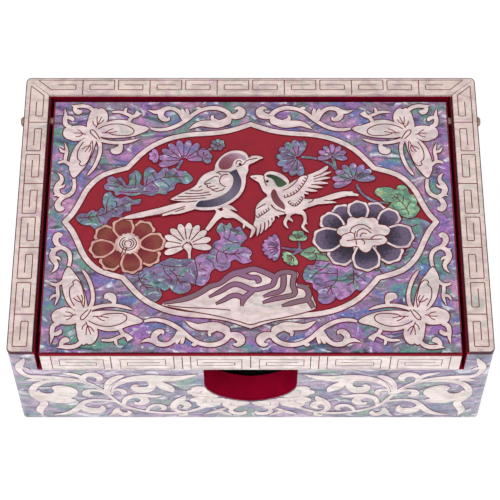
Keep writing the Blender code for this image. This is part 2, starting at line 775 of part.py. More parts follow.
def right_bird():
    """The bird that is about to settle, with both wings spread."""
    body = [
        (0.6, 12.6), (3.2, 13.3), (5.2, 13.8), (8.0, 12.8), (9.8, 10.4), (12.0, 7.6),
        (14.6, 4.6), (12.0, 2.4), (8.5, 1.8), (5.8, 3.5), (4.2, 6.5), (3.4, 9.3), (2.3, 11.2),
    ]
    return [smooth_path(body, closed=True, steps=2)] + strokes(
        [(7.5, 7, 1.2), (13, 11, 1.4), (18.4, 15.4, 0.3)],
        [(8, 6.5, 1.2), (13.5, 9, 1.4), (18.6, 11.8, 0.3)],
        [(8.5, 5.5, 1.2), (13, 7.2, 1.2), (17, 9.0, 0.3)],
        [(5, 6, 1.2), (2.4, 2.6, 1.3), (0.8, -2.8, 0.3)],
        [(5.5, 5, 1.2), (4.0, 1.6, 1.2), (2.9, -2.4, 0.3)],
        [(13, 4.2, 1.1), (19, 6.0, 0.9), (24.6, 7.3, 0.7)],
        [(8.8, 2.4, 0.4), (8.3, 0, 0.35), (8.8, -1.3, 0.35)],
        [(11.5, 3.0, 0.4), (12.4, 0, 0.35), (13.0, -1.8, 0.35)],
    )


def leaf(points):
    """A leaf or a group of leaves from a few points of its edge."""
    return [smooth_path(points, closed=True, steps=2)]


def with_clearance(pieces, gap):
    """Pieces with a margin round them, for cutting their neighbours back."""
    points = {point for piece in pieces for point in piece}
    return pieces + [disc(x, y, gap, sides=8) for x, y in sorted(points)]


def make_picture():
    """The inlaid pieces inside the cartouche, none of them touching another."""
    gap = PICTURE_GAP
    rose_clear = flower(*ROSE_FLOWER, grow=gap)
    violet_clear = flower(*VIOLET_FLOWER, grow=gap)
    daisy = fan(*DAISY) + strokes([(-14.5, -8.4, 0.5), (-14.2, -10.2, 0.4)])
    inlay("bird_left", PEARL, left_bird(), on_lid_sheet, on_lid=True)
    inlay("bird_right", PEARL, right_bird(), on_lid_sheet, on_lid=True)
    inlay("rose_flower", ROSE_SHELL, flower(*ROSE_FLOWER), on_lid_sheet, on_lid=True)
    heart_clear = flower(*HEART, grow=gap)
    inlay("violet_flower", VIOLET_SHELL, flower(*VIOLET_FLOWER), on_lid_sheet, heart_clear, True)
    inlay("violet_flower_heart", PEARL, flower(*HEART), on_lid_sheet, on_lid=True)
    inlay("daisy", PEARL, daisy, on_lid_sheet, rose_clear, True)
    rock = [
        (-19.6, -22.6), (-14.0, -21.0), (-10.0, -19.4), (-5.5, -16.2), (-1.5, -13.8), (1.5, -14.4),
        (4.2, -16.4), (6.5, -14.2), (9.0, -14.2), (10.2, -17.6), (12.6, -17.8), (14.0, -23.4),
        (8.0, -24.0), (4.0, -24.6), (0.0, -26.2), (-4.0, -24.6), (-8.0, -24.0), (-15.0, -23.4),
    ]
    inlay("rock", PEARL, [rock], on_lid_sheet, on_lid=True)
    leaves = {
        "leaf_spray_left": leaf([
            (-26.6, -14.2), (-21.0, -11.2), (-15.4, -11.0), (-13.2, -12.6), (-13.4, -16.0),
            (-16.4, -17.6), (-20.0, -19.4), (-23.2, -18.0), (-25.8, -16.2),
        ]),
        "leaf_spray_middle": leaf([
            (-12.2, -10.8), (-8.8, -8.0), (-7.2, -3.2), (-4.8, -1.6), (-2.6, -4.6), (-0.8, -7.2),
            (0.6, -9.6), (-4.4, -11.0), (-6.8, -13.4), (-10.4, -14.6), (-12.2, -13.6),
        ]),
        "leaf_upper_left": leaf([
            (-40.6, 0.6), (-38.2, 3.0), (-34.0, 3.8), (-30.4, 1.8), (-33.0, -0.6), (-37.0, -2.2),
        ]),
        "leaf_upper_right": leaf([
            (29.6, 8.6), (32.6, 10.2), (35.6, 9.8), (38.2, 7.0), (38.6, 3.8), (36.4, 2.4),
            (33.0, 4.8), (30.6, 6.6),
        ]),
        "leaf_violet": leaf([
            (13.0, -13.0), (13.6, -10.2), (17.6, -9.4), (22.4, -11.4), (28.2, -12.6), (26.2, -15.6),
            (22.4, -18.4), (19.0, -20.0), (16.0, -18.4),
        ]),
    }
    birds = with_clearance(left_bird() + right_bird(), gap)
    cuts = rose_clear + violet_clear + with_clearance(daisy, gap) + birds
    for name, pieces in leaves.items():
        inlay(name, ABALONE, pieces, on_lid_sheet, cuts, True)
    fans = {
        "fan_flower_left": fan(-12.4, 17.6, 5.8, 125, 245, 6, 1.0),
        "fan_flower_back": fan(12.2, 17.8, 5.2, 85, 260, 7, 1.0),
        "fan_flower_right": fan(24.2, 10.4, 5.6, 20, 190, 7, 1.0),
        "fan_flower_small": fan(-31.6, 8.2, 3.8, 30, 200, 5, 0.9),
        "sprig_right": fan(9.6, -8.0, 4.2, 100, 260, 4, 0.9),
    }
    for name, pieces in fans.items():
        inlay(name, ABALONE, pieces, on_lid_sheet, cuts, True)


def front_scroll():
    """The right half of the scrolls on the front, in squares of that face."""
    return strokes(
        [(10.2, 6.6, 0.5), (14, 4.0, 0.5), (17, 2.9, 0.55), (21, 2.9, 0.5), (25, 4.2, 0.5),
         (28, 5.4, 0.5), (30, 6.8, 0.6), (31.5, 9, 0.5), (33, 12, 0.5), (35, 15, 0.6),
         (37.5, 18, 0.6), (41, 20.8, 0.8), (45, 21.9, 0.9), (49, 22, 0.9), (51.6, 22.8, 0.9),
         (52.8, 25.4, 0.9), (52.7, 28.4, 1.0), (51.4, 31.4, 0.3)],
        [(37, 17.6, 0.5), (40, 19.6, 0.7), (44, 20.4, 0.8), (48, 20, 1.1), (50.6, 17, 1.2),
         (51, 13.5, 1.1), (49.7, 10.5, 1.2), (48.9, 8, 0.9), (50, 4.6, 1.0), (50.6, 1.6, 0.2)],
        [(44.6, 14.0, 3.0), (45.4, 12.0, 1.9), (48.6, 11.6, 1.4)],
        [(33.2, 12.4, 0.5), (33.5, 16, 0.7), (32.6, 19, 1.0), (30.2, 21.4, 1.3), (26.5, 22.2, 1.3),
         (22, 22, 1.4), (18, 22.4, 1.1), (15, 23.1, 0.8), (12.2, 23.9, 0.15)],
        [(22.4, 21, 1.2), (20.6, 18.6, 1.5), (19.4, 16.4, 1.3), (18.7, 14.2, 0.3)],
        [(21.8, 18.0, 0.7), (23.4, 17.2, 0.8), (25.4, 16.6, 2.2)],
        [(29.6, 7.0, 0.5), (29.0, 10.2, 0.6), (27, 11.9, 0.8), (24, 12.1, 0.8), (20.9, 12.9, 0.15)],
        [(31.2, 8.6, 0.5), (34, 9.7, 0.5), (37.4, 9.8, 0.7), (39.8, 8, 0.8), (41.2, 5.2, 0.8),
         (43.4, 3.2, 0.7), (46.6, 2.2, 0.15)],
        [(35.2, 7.4, 0.4), (35.0, 5.6, 0.8), (36.6, 4.2, 1.2), (38.8, 4.4, 1.1), (40.4, 6.4, 0.8)],
        [(39.2, 19.4, 0.5), (38.6, 21.8, 0.7), (36.8, 23.6, 0.8), (35.2, 22.8, 0.9), (35.4, 21.2, 0.7)],
        [(17.4, 3.0, 0.5), (18.6, 5.6, 0.8), (17.8, 8, 1.0), (16.4, 10, 0.7), (15.6, 12, 0.2)],
        [(11.2, 6.2, 0.8), (12.4, 10.4, 1.2), (12.2, 14.6, 2.1), (11.6, 16.4, 1.2)],
        [(10.4, 6.4, 0.6), (8.4, 7.4, 1.3), (6.4, 7.2, 1.4), (3.2, 6.4, 1.2), (1.0, 4.0, 0.7)],
    )


def vine(length, height, waves):
    """A wavy stem with a curled leaf in each bend, for a plain wall of this length and height."""
    pitch = length / waves
    swing = VINE_SWING_SHARE * height
    thick = VINE_HALF_WIDTH_SHARE * height
    middle = height / 2
    stem = []
    for i in range(8 * waves + 1):
        x = -length / 2 + i * pitch / 8
        stem.append((x, middle + swing * math.sin(math.pi * i / 4), thick))
    lines = [stem]
    for wave in range(waves):
        for side, share in ((1, 0.25), (-1, 0.75)):
            x = -length / 2 + (wave + share) * pitch
            radius = VINE_CURL_SHARE * pitch
            curl = []
            for k in range(9):
                a = math.radians(90 - 38 * k)
                r = radius * (1 - 0.085 * k)
                y = swing - radius + r * math.sin(a)
                curl.append((x + r * math.cos(a), middle + side * y, thick * (0.8 + 0.12 * k)))
            lines.append(curl)
    return strokes(*lines)


def make_wall_scrolls():
    """Mother-of-pearl scrolls on the front, and vines on the other three faces."""
    notch = [
        (x * FACE_SQUARES[0] / (CASE_WIDTH / 2),
         (z - WALL_BOTTOM) * FACE_SQUARES[1] / (FRONT_WALL_TOP - WALL_BOTTOM))
        for x, z in notch_outline(INLAY_MARGIN / 2, INLAY_MARGIN)
    ]
    for name, flip in (("front_scroll_left", -1), ("front_scroll_right", 1)):
        pieces = mirrored(front_scroll(), flip)
        inlay(name, PEARL, pieces, on_front, [notch])
    low = WALL_BOTTOM + INLAY_MARGIN
    high = PIN_Z - PIN_RADIUS - INLAY_MARGIN
    height = (high - low) / MILLIMETRE
    side_length = (CASE_DEPTH - 2 * CORNER_RADIUS - 2 * INLAY_MARGIN) / MILLIMETRE
    back_length = (CASE_WIDTH - 2 * CORNER_RADIUS - 2 * INLAY_MARGIN) / MILLIMETRE

    def on_back(x, y, rise):
        out = CASE_DEPTH / 2 - INLAY + rise
        return Vector((-x * MILLIMETRE, out, low + y * MILLIMETRE))

    def on_right(x, y, rise):
        out = CASE_WIDTH / 2 - INLAY + rise
        return Vector((out, x * MILLIMETRE, low + y * MILLIMETRE))

    def on_left(x, y, rise):
        out = CASE_WIDTH / 2 - INLAY + rise
        return Vector((-out, -x * MILLIMETRE, low + y * MILLIMETRE))

    inlay("back_scroll", PEARL, vine(back_length, height, 3), on_back)
    inlay("right_scroll", PEARL, vine(side_length, height, 2), on_right)
    inlay("left_scroll", PEARL, vine(side_length, height, 2), on_left)


def main():
    """Build the whole box."""
    notch = make_notch_cutter()
    bore = make_bore_cutter("wall_bore_cutter", PIN_RADIUS + BORE_CLEARANCE)
    make_bottom()
    make_walls(notch, bore)
    make_wall_sheets(notch, bore)
    make_rim()
    make_pins()
    make_lid()
    make_lid_corners()
    make_picture()
    make_wall_scrolls()


main()
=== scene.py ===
"""Shell inlay, lacquer and stage for a small card box whose lid turns on two pins.

Drawings are in millimetres. The lid's are counted from the middle of its width and from the
front of the box, those of the walls from their middle and from their lower edge.
"""
import math

import bpy
import numpy as np
from bpy.props import FloatProperty, FloatVectorProperty, IntProperty, PointerProperty
from bpy.types import Operator, Panel, PropertyGroup
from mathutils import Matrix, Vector
from mathutils.geometry import delaunay_2d_cdt


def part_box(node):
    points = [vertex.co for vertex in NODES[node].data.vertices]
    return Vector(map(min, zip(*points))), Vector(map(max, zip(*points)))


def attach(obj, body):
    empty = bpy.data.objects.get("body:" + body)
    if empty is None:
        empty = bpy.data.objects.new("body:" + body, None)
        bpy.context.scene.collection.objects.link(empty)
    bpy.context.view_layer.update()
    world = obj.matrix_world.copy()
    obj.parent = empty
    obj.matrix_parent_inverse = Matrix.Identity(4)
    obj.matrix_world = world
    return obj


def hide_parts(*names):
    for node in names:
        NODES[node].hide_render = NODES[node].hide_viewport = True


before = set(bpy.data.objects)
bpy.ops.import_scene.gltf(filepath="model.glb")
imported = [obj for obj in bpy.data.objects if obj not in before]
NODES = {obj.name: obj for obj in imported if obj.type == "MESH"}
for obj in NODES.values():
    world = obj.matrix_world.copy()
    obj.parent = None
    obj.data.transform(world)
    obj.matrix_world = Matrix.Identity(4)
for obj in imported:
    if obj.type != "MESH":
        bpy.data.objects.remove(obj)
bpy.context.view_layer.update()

bl_info = {
    "name": "Inlaid Card Box",
    "version": (1, 0, 0),
    "blender": (4, 5, 0),
    "location": "3D View > Sidebar > Card Box",
    "description": "Shell inlay, lacquer and stage for a lacquered card box",
    "category": "Object",
}

MM = 0.001
SHEET_LOW, SHEET_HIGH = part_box("lid_shell")
RIM_LOW, RIM_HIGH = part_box("rim_strip_right")
BACK_LOW, BACK_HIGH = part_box("rim_strip_back")
LIP_LOW, LIP_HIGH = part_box("lip_strip")
PIN_LOW, PIN_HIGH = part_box("hinge_pin_right")
BOX_X = RIM_HIGH.x
BOX_Y = BACK_HIGH.y
SHEETS_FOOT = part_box("shell_front")[0].z
SHEETS_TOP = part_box("shell_back")[1].z
FRONT_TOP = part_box("front_wall")[1].z

# Metres
CORNER = 0.0012             # radius of the box's upright corners
SHEET_BEHIND = 0.00015      # the sheets lie this far inside the box's outline
SHEET_THICK = 0.00014
LACQUER_BEHIND = 0.0006     # lacquer backs the sheets from this far inside their face
LACQUER_UNDER = 0.0001      # to this far
LID_ROOM = 0.0012           # the front sheet's opening goes this far past the lid's rail
RIM_GAP = 0.00002           # the rim's strips end this far over the sheets
RIM_LACQUER = 0.00004       # thickness of the lacquer over the walls' tops, darkened as painted shade
RIM_EDGE_UNDER = 0.00006    # the strips' dark edge lies this far under the pearl's top

# Millimetres
MERGE = 0.002               # points nearer than this become one
SLIVER = 1e-5               # smallest face of a drawing, in square millimetres
PIN_HOLE = 1.35             # radius
DRAWING_MIDDLE = 35.2       # the lid's sheet in its drawing: middle and half its depth
DRAWING_HALF = 34.4
BAND_HALF = 0.62            # half the width of the band round the picture
LEAF_LINE = 0.11            # half the width of a leaf's lines
VEIN_LINE = 0.12            # half the width of a wing's veins
FRONT_LINE = 0.08           # half the width of the front scrolls' lines
FRONT_EDGE = 0.14           # width of the line round the shell of the walls
VINE_TIP = 0.05             # half the width of a leaf's tip
VINE_HEIGHT = 27.5
VINE_FOOT = 1.0             # over the sheet's lower edge
VINE_START = 0.5            # from the wall's left end
VINE_FREE = 5.0             # what the waves leave of a wall's length
PETAL_BORDER = 0.52         # pearl round a petal's stained middle
RIM_FREE = 0.5              # bare strip between the side's pearl and the inside
RIM_INSET = 0.02            # the strips' inner edges stand back this far
RIM_SEAM = 0.16             # gap in the mitre
RIM_BEVEL = 0.22            # the pearl stands in this far from the outer edge
RIM_UNDER = 0.4             # and the lacquer under it this far
RIM_EDGE_IN = 0.05          # the dark edge, from the pearl's inner edge
RIM_MITRE = 1.7             # a fret stops this far short of the mitre
LIP_RED = 0.32              # red line above the rail's pearl
LIP_MARGIN = 0.1            # the rail's fret ends this far under the red line
LIP_FOOT = 0.9              # its middle line ends this far over the rail's lower edge
CUT_CORNER = 0.18           # a fret saw cuts corners this short

# A sheet's bend: radians left free before the middle of a corner, and its flat steps
SHEET_SEAM = 0.03
BEND = 4

# Heights of a fret's lines as shares of the strip's width, and their ends as shares of the pitch
FRET_TOP, FRET_MIDDLE, FRET_LOW = 0.80, 0.54, 0.27
FRET_FAR, FRET_NEAR, FRET_TAIL = 0.47, 0.105, 0.38

ONES = (1.0, 1.0, 1.0)
WHITE = ONES
Z_AXIS = (0.0, 0.0, 1.0)


def rgb(red, green, blue):
    """A display colour of 0 to 255 as linear light."""
    values = [c / 255 for c in (red, green, blue)]
    return tuple(c / 12.92 if c <= 0.04045 else ((c + 0.055) / 1.055) ** 2.4 for c in values)


def length(label, text, default):
    """A size property in metres."""
    return FloatProperty(name=label, description=text, default=default, unit="LENGTH", precision=5)


def colour(label, text, default):
    """A colour property."""
    return FloatVectorProperty(
        name=label, description=text, default=rgb(*default), subtype="COLOR", min=0.0, max=1.0,
    )


class InlaySizes(PropertyGroup):
    """Sizes of the inlay work."""

    pearl_rise: length("Pearl height", "Top of the pearl above its sheet", 0.00013)
    step: length("Layer step", "Height of one layer of drawing above the next", 0.000006)
    sink: length("Let in", "How far a piece reaches down into its sheet", 0.00003)
    outline: length("Outline width", "Width of the lacquer line round a piece", 0.00023)
    line: length("Line width", "Width of an engraved line", 0.00026)
    fret_line: length("Fret line width", "Width of a line of the fret", 0.00024)
    curve_steps: IntProperty(
        name="Curve steps", description="Points between two drawn points", default=4, min=1, max=12,
    )


class BoxColours(PropertyGroup):
    """Colours of the finishes."""

    lacquer: colour("Lacquer", "Boards of the box", (150, 8, 46))
    picture: colour("Picture ground", "Lacquer behind the picture", (161, 33, 51))
    line: colour("Outline", "Lacquer line round the shell", (112, 18, 34))
    front_line: colour("Front outline", "Line round the front's shell", (168, 140, 164))
    pearl: colour("Pearl", "White mother-of-pearl", (250, 240, 239))
    lid_pearl: colour("Lid pearl", "White shell of the picture and its border", (242, 225, 228))
    rim: colour("Rim pearl", "Pearl on the rim", (236, 218, 215))
    fret: colour("Fret line", "Lines engraved in the strips", (132, 66, 70))
    brass: colour("Brass", "Hinge pins", (162, 138, 128))
    flock: colour("Flock", "Inside of the box", (26, 20, 26))
    floor: colour("Floor", "Ground under the box", (246, 246, 246))


class StageSettings(PropertyGroup):
    """Camera and lamps."""

    lens: FloatProperty(name="Lens", description="Focal length in millimetres", default=129.42)
    elevation: FloatProperty(
        name="Looking down", description="Angle below the horizon", default=math.radians(60.13),
        subtype="ANGLE",
    )
    camera_back: length("Camera in front", "Distance before the box", 0.21903)
    camera_up: length("Camera height", "Height over the table", 0.3969)
    key: FloatProperty(name="Key lamp", description="Power of the main lamp in watts", default=1.9)
    fill: FloatProperty(name="Fill lamp", description="Power of the second lamp", default=0.9)
    sky: FloatProperty(name="Sky", description="Strength of the white surroundings", default=0.70)


# ---- nodes


def wire(tree, node, **inputs):
    """Feed a node's inputs with constants or sockets; _0, _1 count inputs of one name."""
    for key, value in inputs.items():
        socket = node.inputs[int(key[1:]) if key[0] == "_" else key.replace("_", " ")]
        if isinstance(value, bpy.types.NodeSocket):
            tree.links.new(value, socket)
        else:
            socket.default_value = (*value, 1.0) if socket.type == "RGBA" else value
    return node


def put(tree, kind, settings=None, **inputs):
    """Add a node with its settings and inputs."""
    node = tree.nodes.new(kind)
    for key, value in (settings or {}).items():
        setattr(node, key, value)
    return wire(tree, node, **inputs)


def out(tree, kind, settings=None, **inputs):
    """The first output of a new node."""
    return put(tree, kind, settings, **inputs).outputs[0]


def calc(tree, operation, *values):
    """The result of a Math node."""
    inputs = {f"_{i}": value for i, value in enumerate(values)}
    return out(tree, "ShaderNodeMath", {"operation": operation}, **inputs)


def multiply_add(tree, value, factor, more):
    """value * factor + more for vectors."""
    settings = {"operation": "MULTIPLY_ADD"}
    return out(tree, "ShaderNodeVectorMath", settings, _0=value, _1=factor, _2=more)


# ---- geometry trees


def new_tree(name, *sockets):
    """A geometry tree with named inputs, each (name, socket type, default), and its inputs."""
    tree = bpy.data.node_groups.new(name, "GeometryNodeTree")
    first, last = ("Geometry", "Geometry", None), ("Material", "Material", None)
    for label, kind, default in (first, *sockets, last):
        socket = tree.interface.new_socket(label, in_out="INPUT", socket_type="NodeSocket" + kind)
        if default is not None:
            socket.default_value = default
    tree.interface.new_socket("Geometry", in_out="OUTPUT", socket_type="NodeSocketGeometry")
    return tree, tree.nodes.new("NodeGroupInput").outputs


def end_tree(tree, given, shape):
    """Realize Instances, Set Material and the output."""
    real = out(tree, "GeometryNodeRealizeInstances", Geometry=shape)
    painted = out(tree, "GeometryNodeSetMaterial", Geometry=real, Material=given["Material"])
    tree.links.new(painted, tree.nodes.new("NodeGroupOutput").inputs[0])
    return tree


def joined(tree, *shapes):
    """Several shapes as one."""
    node = tree.nodes.new("GeometryNodeJoinGeometry")
    for shape in shapes:
        tree.links.new(shape, node.inputs[0])
    return node.outputs[0]


def smooth_curve(tree, mesh, steps):
    """Loose edges as smooth curves through their points."""
    curve = out(tree, "GeometryNodeMeshToCurve", Mesh=mesh)
    curve = out(tree, "GeometryNodeCurveSplineType", {"spline_type": "CATMULL_ROM"}, Curve=curve)
    return out(tree, "GeometryNodeSetSplineResolution", Geometry=curve, Resolution=steps)


def ribbon(tree, curve, half):
    """A flat ribbon along curves, of a half width that may change."""
    curve = out(tree, "GeometryNodeSetCurveNormal", {"mode": "Z_UP"}, Curve=curve)
    across = out(
        tree, "GeometryNodeCurvePrimitiveLine", Start=(-1.0, 0.0, 0.0), End=(1.0, 0.0, 0.0),
    )
    return out(tree, "GeometryNodeCurveToMesh", Curve=curve, Profile_Curve=across, Scale=half)


def swelling_tree():
    """Swelling strokes along paths, and filled loops, repeated in a row."""
    tree, given = new_tree(
        "swelling_strokes", ("Steps", "Int", 4), ("Grow", "Float", 0.0),
        ("Fill Loops", "Bool", True), ("Copies", "Int", 1), ("Pitch", "Vector", None),
    )
    row = out(tree, "GeometryNodeMeshLine", Count=given["Copies"], Offset=given["Pitch"])
    copies = out(tree, "GeometryNodeInstanceOnPoints", Points=row, Instance=given["Geometry"])
    real = out(tree, "GeometryNodeRealizeInstances", Geometry=copies)
    curve = smooth_curve(tree, real, given["Steps"])
    half = out(tree, "GeometryNodeInputNamedAttribute", {"data_type": "FLOAT"}, Name="half")
    band = ribbon(tree, curve, calc(tree, "ADD", half, given["Grow"]))
    wanted = out(
        tree, "FunctionNodeBooleanMath", {"operation": "AND"},
        _0=out(tree, "GeometryNodeInputSplineCyclic"), _1=given["Fill Loops"],
    )
    loops = out(
        tree, "GeometryNodeSeparateGeometry", {"domain": "CURVE"}, Geometry=curve, Selection=wanted,
    )
    number = out(tree, "GeometryNodeInputIndex")
    filled = out(tree, "GeometryNodeFillCurve", {"mode": "NGONS"}, Curve=loops, Group_ID=number)
    return end_tree(tree, given, joined(tree, band, filled))


def petal_tree():
    """Petals in a ring or a fan round a middle."""
    tree, given = new_tree(
        "petal_ring", ("Count", "Int", 8), ("Middle", "Vector", None), ("Ring", "Vector", None),
        ("Petal", "Vector", None), ("Taper", "Float", 0.2), ("Start", "Float", 0.0),
        ("Sweep", "Float", 360.0), ("Grow", "Float", 0.0), ("Corners", "Int", 24),
        ("Wave", "Float", 0.0), ("Waves", "Float", 8.0),
    )
    share = calc(tree, "DIVIDE", out(tree, "GeometryNodeInputIndex"), given["Count"])
    degrees = calc(tree, "MULTIPLY_ADD", share, given["Sweep"], given["Start"])
    angle = calc(tree, "RADIANS", degrees)
    way = out(
        tree, "ShaderNodeCombineXYZ", X=calc(tree, "COSINE", angle), Y=calc(tree, "SINE", angle),
    )
    place = multiply_add(tree, way, given["Ring"], given["Middle"])
    points = out(tree, "GeometryNodePoints", Count=given["Count"], Position=place)
    petal = out(
        tree, "GeometryNodeMeshCircle", {"fill_type": "NGON"}, Vertices=given["Corners"],
        Radius=1.0,
    )
    here = put(tree, "ShaderNodeSeparateXYZ", Vector=out(tree, "GeometryNodeInputPosition"))
    x, y = here.outputs["X"], here.outputs["Y"]
    wider = calc(tree, "MULTIPLY_ADD", x, given["Taper"], 1.0)
    turns = calc(tree, "MULTIPLY", calc(tree, "ARCTAN2", y, x), given["Waves"])
    towards_tip = calc(tree, "MULTIPLY_ADD", x, 0.5, 0.5)
    height = calc(tree, "MULTIPLY", towards_tip, given["Wave"])
    ripple = calc(tree, "MULTIPLY", calc(tree, "COSINE", turns), height)
    ripple = calc(tree, "ADD", ripple, 1.0)
    edge = out(
        tree, "ShaderNodeCombineXYZ", X=calc(tree, "MULTIPLY", x, ripple),
        Y=calc(tree, "MULTIPLY", calc(tree, "MULTIPLY", y, wider), ripple),
    )
    petal = out(tree, "GeometryNodeSetPosition", Geometry=petal, Position=edge)
    grown = out(
        tree, "ShaderNodeVectorMath", {"operation": "ADD"}, _0=given["Petal"], _1=given["Grow"],
    )
    turn = out(tree, "FunctionNodeAxisAngleToRotation", Axis=Z_AXIS, Angle=angle)
    ring = out(
        tree, "GeometryNodeInstanceOnPoints", Points=points, Instance=petal, Rotation=turn,
        Scale=grown,
    )
    return end_tree(tree, given, ring)


def barb_tree():
    """Feather barbs set along paths, with the path itself."""
    tree, given = new_tree(
        "feather_barbs", ("Steps", "Int", 4), ("Count", "Int", 6), ("Barb", "Float", 0.9),
        ("Lean", "Float", 60.0), ("Half Width", "Float", 0.08),
    )
    curve = smooth_curve(tree, given["Geometry"], given["Steps"])
    curve = out(tree, "GeometryNodeSetCurveNormal", {"mode": "Z_UP"}, Curve=curve)
    along = put(
        tree, "GeometryNodeCurveToPoints", {"mode": "COUNT"}, Curve=curve, Count=given["Count"],
    ).outputs
    way = put(tree, "ShaderNodeSeparateXYZ", Vector=along["Tangent"]).outputs
    heading = calc(tree, "ARCTAN2", way["Y"], way["X"])
    angle = calc(tree, "ADD", heading, calc(tree, "RADIANS", given["Lean"]))
    step = out(tree, "ShaderNodeCombineXYZ", X=calc(tree, "MULTIPLY", given["Barb"], 0.5))
    hooks = out(
        tree, "GeometryNodeInstanceOnPoints", Points=along["Points"],
        Instance=out(tree, "GeometryNodeMeshLine", Count=3, Offset=step),
        Rotation=out(tree, "FunctionNodeAxisAngleToRotation", Axis=Z_AXIS, Angle=angle),
    )
    hooks = out(tree, "GeometryNodeRealizeInstances", Geometry=hooks)
    hooks = out(tree, "GeometryNodeMeshToCurve", Mesh=hooks)
    return end_tree(tree, given, ribbon(tree, joined(tree, hooks, curve), given["Half Width"]))


TREES = {"swelling_strokes": swelling_tree, "petal_ring": petal_tree, "feather_barbs": barb_tree}


def path_mesh(loops, strokes):
    """Loose edges through the points of loops (x, y) and of strokes (x, y, half width)."""
    points, edges = [], []
    for path, closed in [(p, True) for p in loops] + [(p, False) for p in strokes]:
        first = len(points)
        points += [(*p, 0.0)[:3] for p in path]
        edges += [(first + i, first + i + 1) for i in range(len(path) - 1)]
        if closed:
            edges.append((first + len(path) - 1, first))
    mesh = bpy.data.meshes.new("paths")
    mesh.from_pydata([(x, y, 0.0) for x, y, _ in points], edges, [])
    mesh.attributes.new("half", "FLOAT", "POINT").data.foreach_set("value", [p[2] for p in points])
    return mesh


def shaped(name, paint, loops=(), strokes=(), **values):
    """The outlines, as lists of points, that a geometry tree makes from loops and strokes."""
    tree = bpy.data.node_groups.get(name) or TREES[name]()
    paths = path_mesh(loops, strokes)
    item = bpy.data.objects.new("drawing", paths)
    bpy.context.scene.collection.objects.link(item)
    modifier = item.modifiers.new("drawing", "NODES")
    modifier.node_group = tree
    values["Material"] = finish(paint)
    for socket in tree.interface.items_tree:
        label = socket.name.replace(" ", "_")
        if socket.in_out == "INPUT" and label in values:
            modifier[socket.identifier] = values[label]
    bpy.context.view_layer.update()
    evaluated = item.evaluated_get(bpy.context.evaluated_depsgraph_get())
    mesh = bpy.data.meshes.new_from_object(evaluated)
    outlines = [
        [mesh.vertices[i].co.to_2d() for i in face.vertices]
        for face in mesh.polygons if face.area > SLIVER
    ]
    bpy.data.objects.remove(item)
    bpy.data.meshes.remove(mesh)
    bpy.data.meshes.remove(paths)
    return outlines


# ---- flat outlines


def turned_left(outline):
    """An outline whose points run anticlockwise; four corners are sorted round their middle."""
    if len(outline) == 4:
        middle = sum(outline, Vector((0.0, 0.0))) / 4
        return sorted(outline, key=lambda p: math.atan2(p.y - middle.y, p.x - middle.x))
    area = sum(a.cross(b) for a, b in zip(outline, outline[1:] + outline[:1]))
    return outline if area > 0 else outline[::-1]


def covered(spots, outlines):
    """Which spots lie inside at least one outline."""
    result = np.zeros(len(spots), bool)
    for outline in outlines:
        corners = np.array([tuple(p) for p in outline])
        low, high = corners.min(axis=0), corners.max(axis=0)
        near = np.flatnonzero(((spots > low) & (spots < high)).all(axis=1) & ~result)
        x, y = spots[near].T
        inside = np.zeros(len(near), bool)
        for a, b in zip(corners, np.roll(corners, -1, axis=0)):
            if a[1] != b[1]:
                crossing = a[0] + (y - a[1]) * (b[0] - a[0]) / (b[1] - a[1])
                inside ^= ((a[1] > y) != (b[1] > y)) & (x < crossing)
        result[near] = inside
    return result


def around(middle, across, up, degrees):
    """The point of an ellipse at an angle."""
    angle = math.radians(degrees)
    return (middle[0] + across * math.cos(angle), middle[1] + up * math.sin(angle))


def arc(middle, across, up, start, end, count):
    """Points along an elliptic arc."""
    return [around(middle, across, up, start + (end - start) * i / count) for i in range(count + 1)]


def spline(points, steps):
    """Points of a Catmull-Rom curve through open points."""
    result = []
    last = len(points) - 1
    for i in range(last):
        a, b, c, d = (points[min(max(i + k, 0), last)] for k in (-1, 0, 1, 2))
        for n in range(steps):
            t = n / steps
            result.append(tuple(
                0.5 * (2 * q + (r - p) * t + (2 * p - 5 * q + 4 * r - s) * t * t
                       + (3 * q - p - 3 * r + s) * t ** 3)
                for p, q, r, s in zip(a, b, c, d)
            ))
    return result + [tuple(points[-1])]


def eased(line):
    """A line whose corners are cut short, as a fret saw leaves them."""
    points = [line[0]]
    for before, here, after in zip(line, line[1:], line[2:]):
        for other in (before, after):
            share = min(CUT_CORNER / math.dist(here, other), 0.4)
            points.append(tuple(a + share * (b - a) for a, b in zip(here, other)))
    return points + [line[-1]]


def drawing(**parts):
    """Loops, lines and veins from rows of x, y, strokes from rows of x, y and half the width."""
    sizes = {key: 3 if key == "strokes" else 2 for key in parts}
    return {
        key: [[row[i:i + sizes[key]] for i in range(0, len(row), sizes[key])] for row in rows]
        for key, rows in parts.items()
    }


def mirrored(shapes, flip_x, flip_y=False):
    """A drawing mirrored in x, and in y about the middle of the lid."""
    top = 2 * DRAWING_MIDDLE
    return {
        key: [[(x * flip_x, top - y if flip_y else y, *half) for x, y, *half in p] for p in paths]
        for key, paths in shapes.items()
    }


# ---- places and heights


def on_lid(x, y, rise):
    """From the lid's drawing to its sheet."""
    half = (SHEET_HIGH.y - SHEET_LOW.y) / 2
    middle = (SHEET_HIGH.y + SHEET_LOW.y) / 2
    return Vector((x * MM, middle + (y - DRAWING_MIDDLE) * half / DRAWING_HALF, SHEET_HIGH.z + rise))


def on_wall(turn):
    """From a wall's drawing to its face, bent round the corners; the front is turn 0."""
    along, out_to = ((BOX_X, BOX_Y), (BOX_Y, BOX_X))[turn % 2]

    def place(x, y, rise):
        over = max(abs(x) * MM - along + CORNER, 0.0) / CORNER
        reach = min(abs(x) * MM, along - CORNER)
        radius = CORNER - SHEET_BEHIND + rise
        px = math.copysign(reach + radius * math.sin(over), x)
        py = -(out_to - CORNER + radius * math.cos(over))
        for _ in range(turn):
            px, py = -py, px
        return Vector((px, py, SHEETS_FOOT + y * MM))

    return place


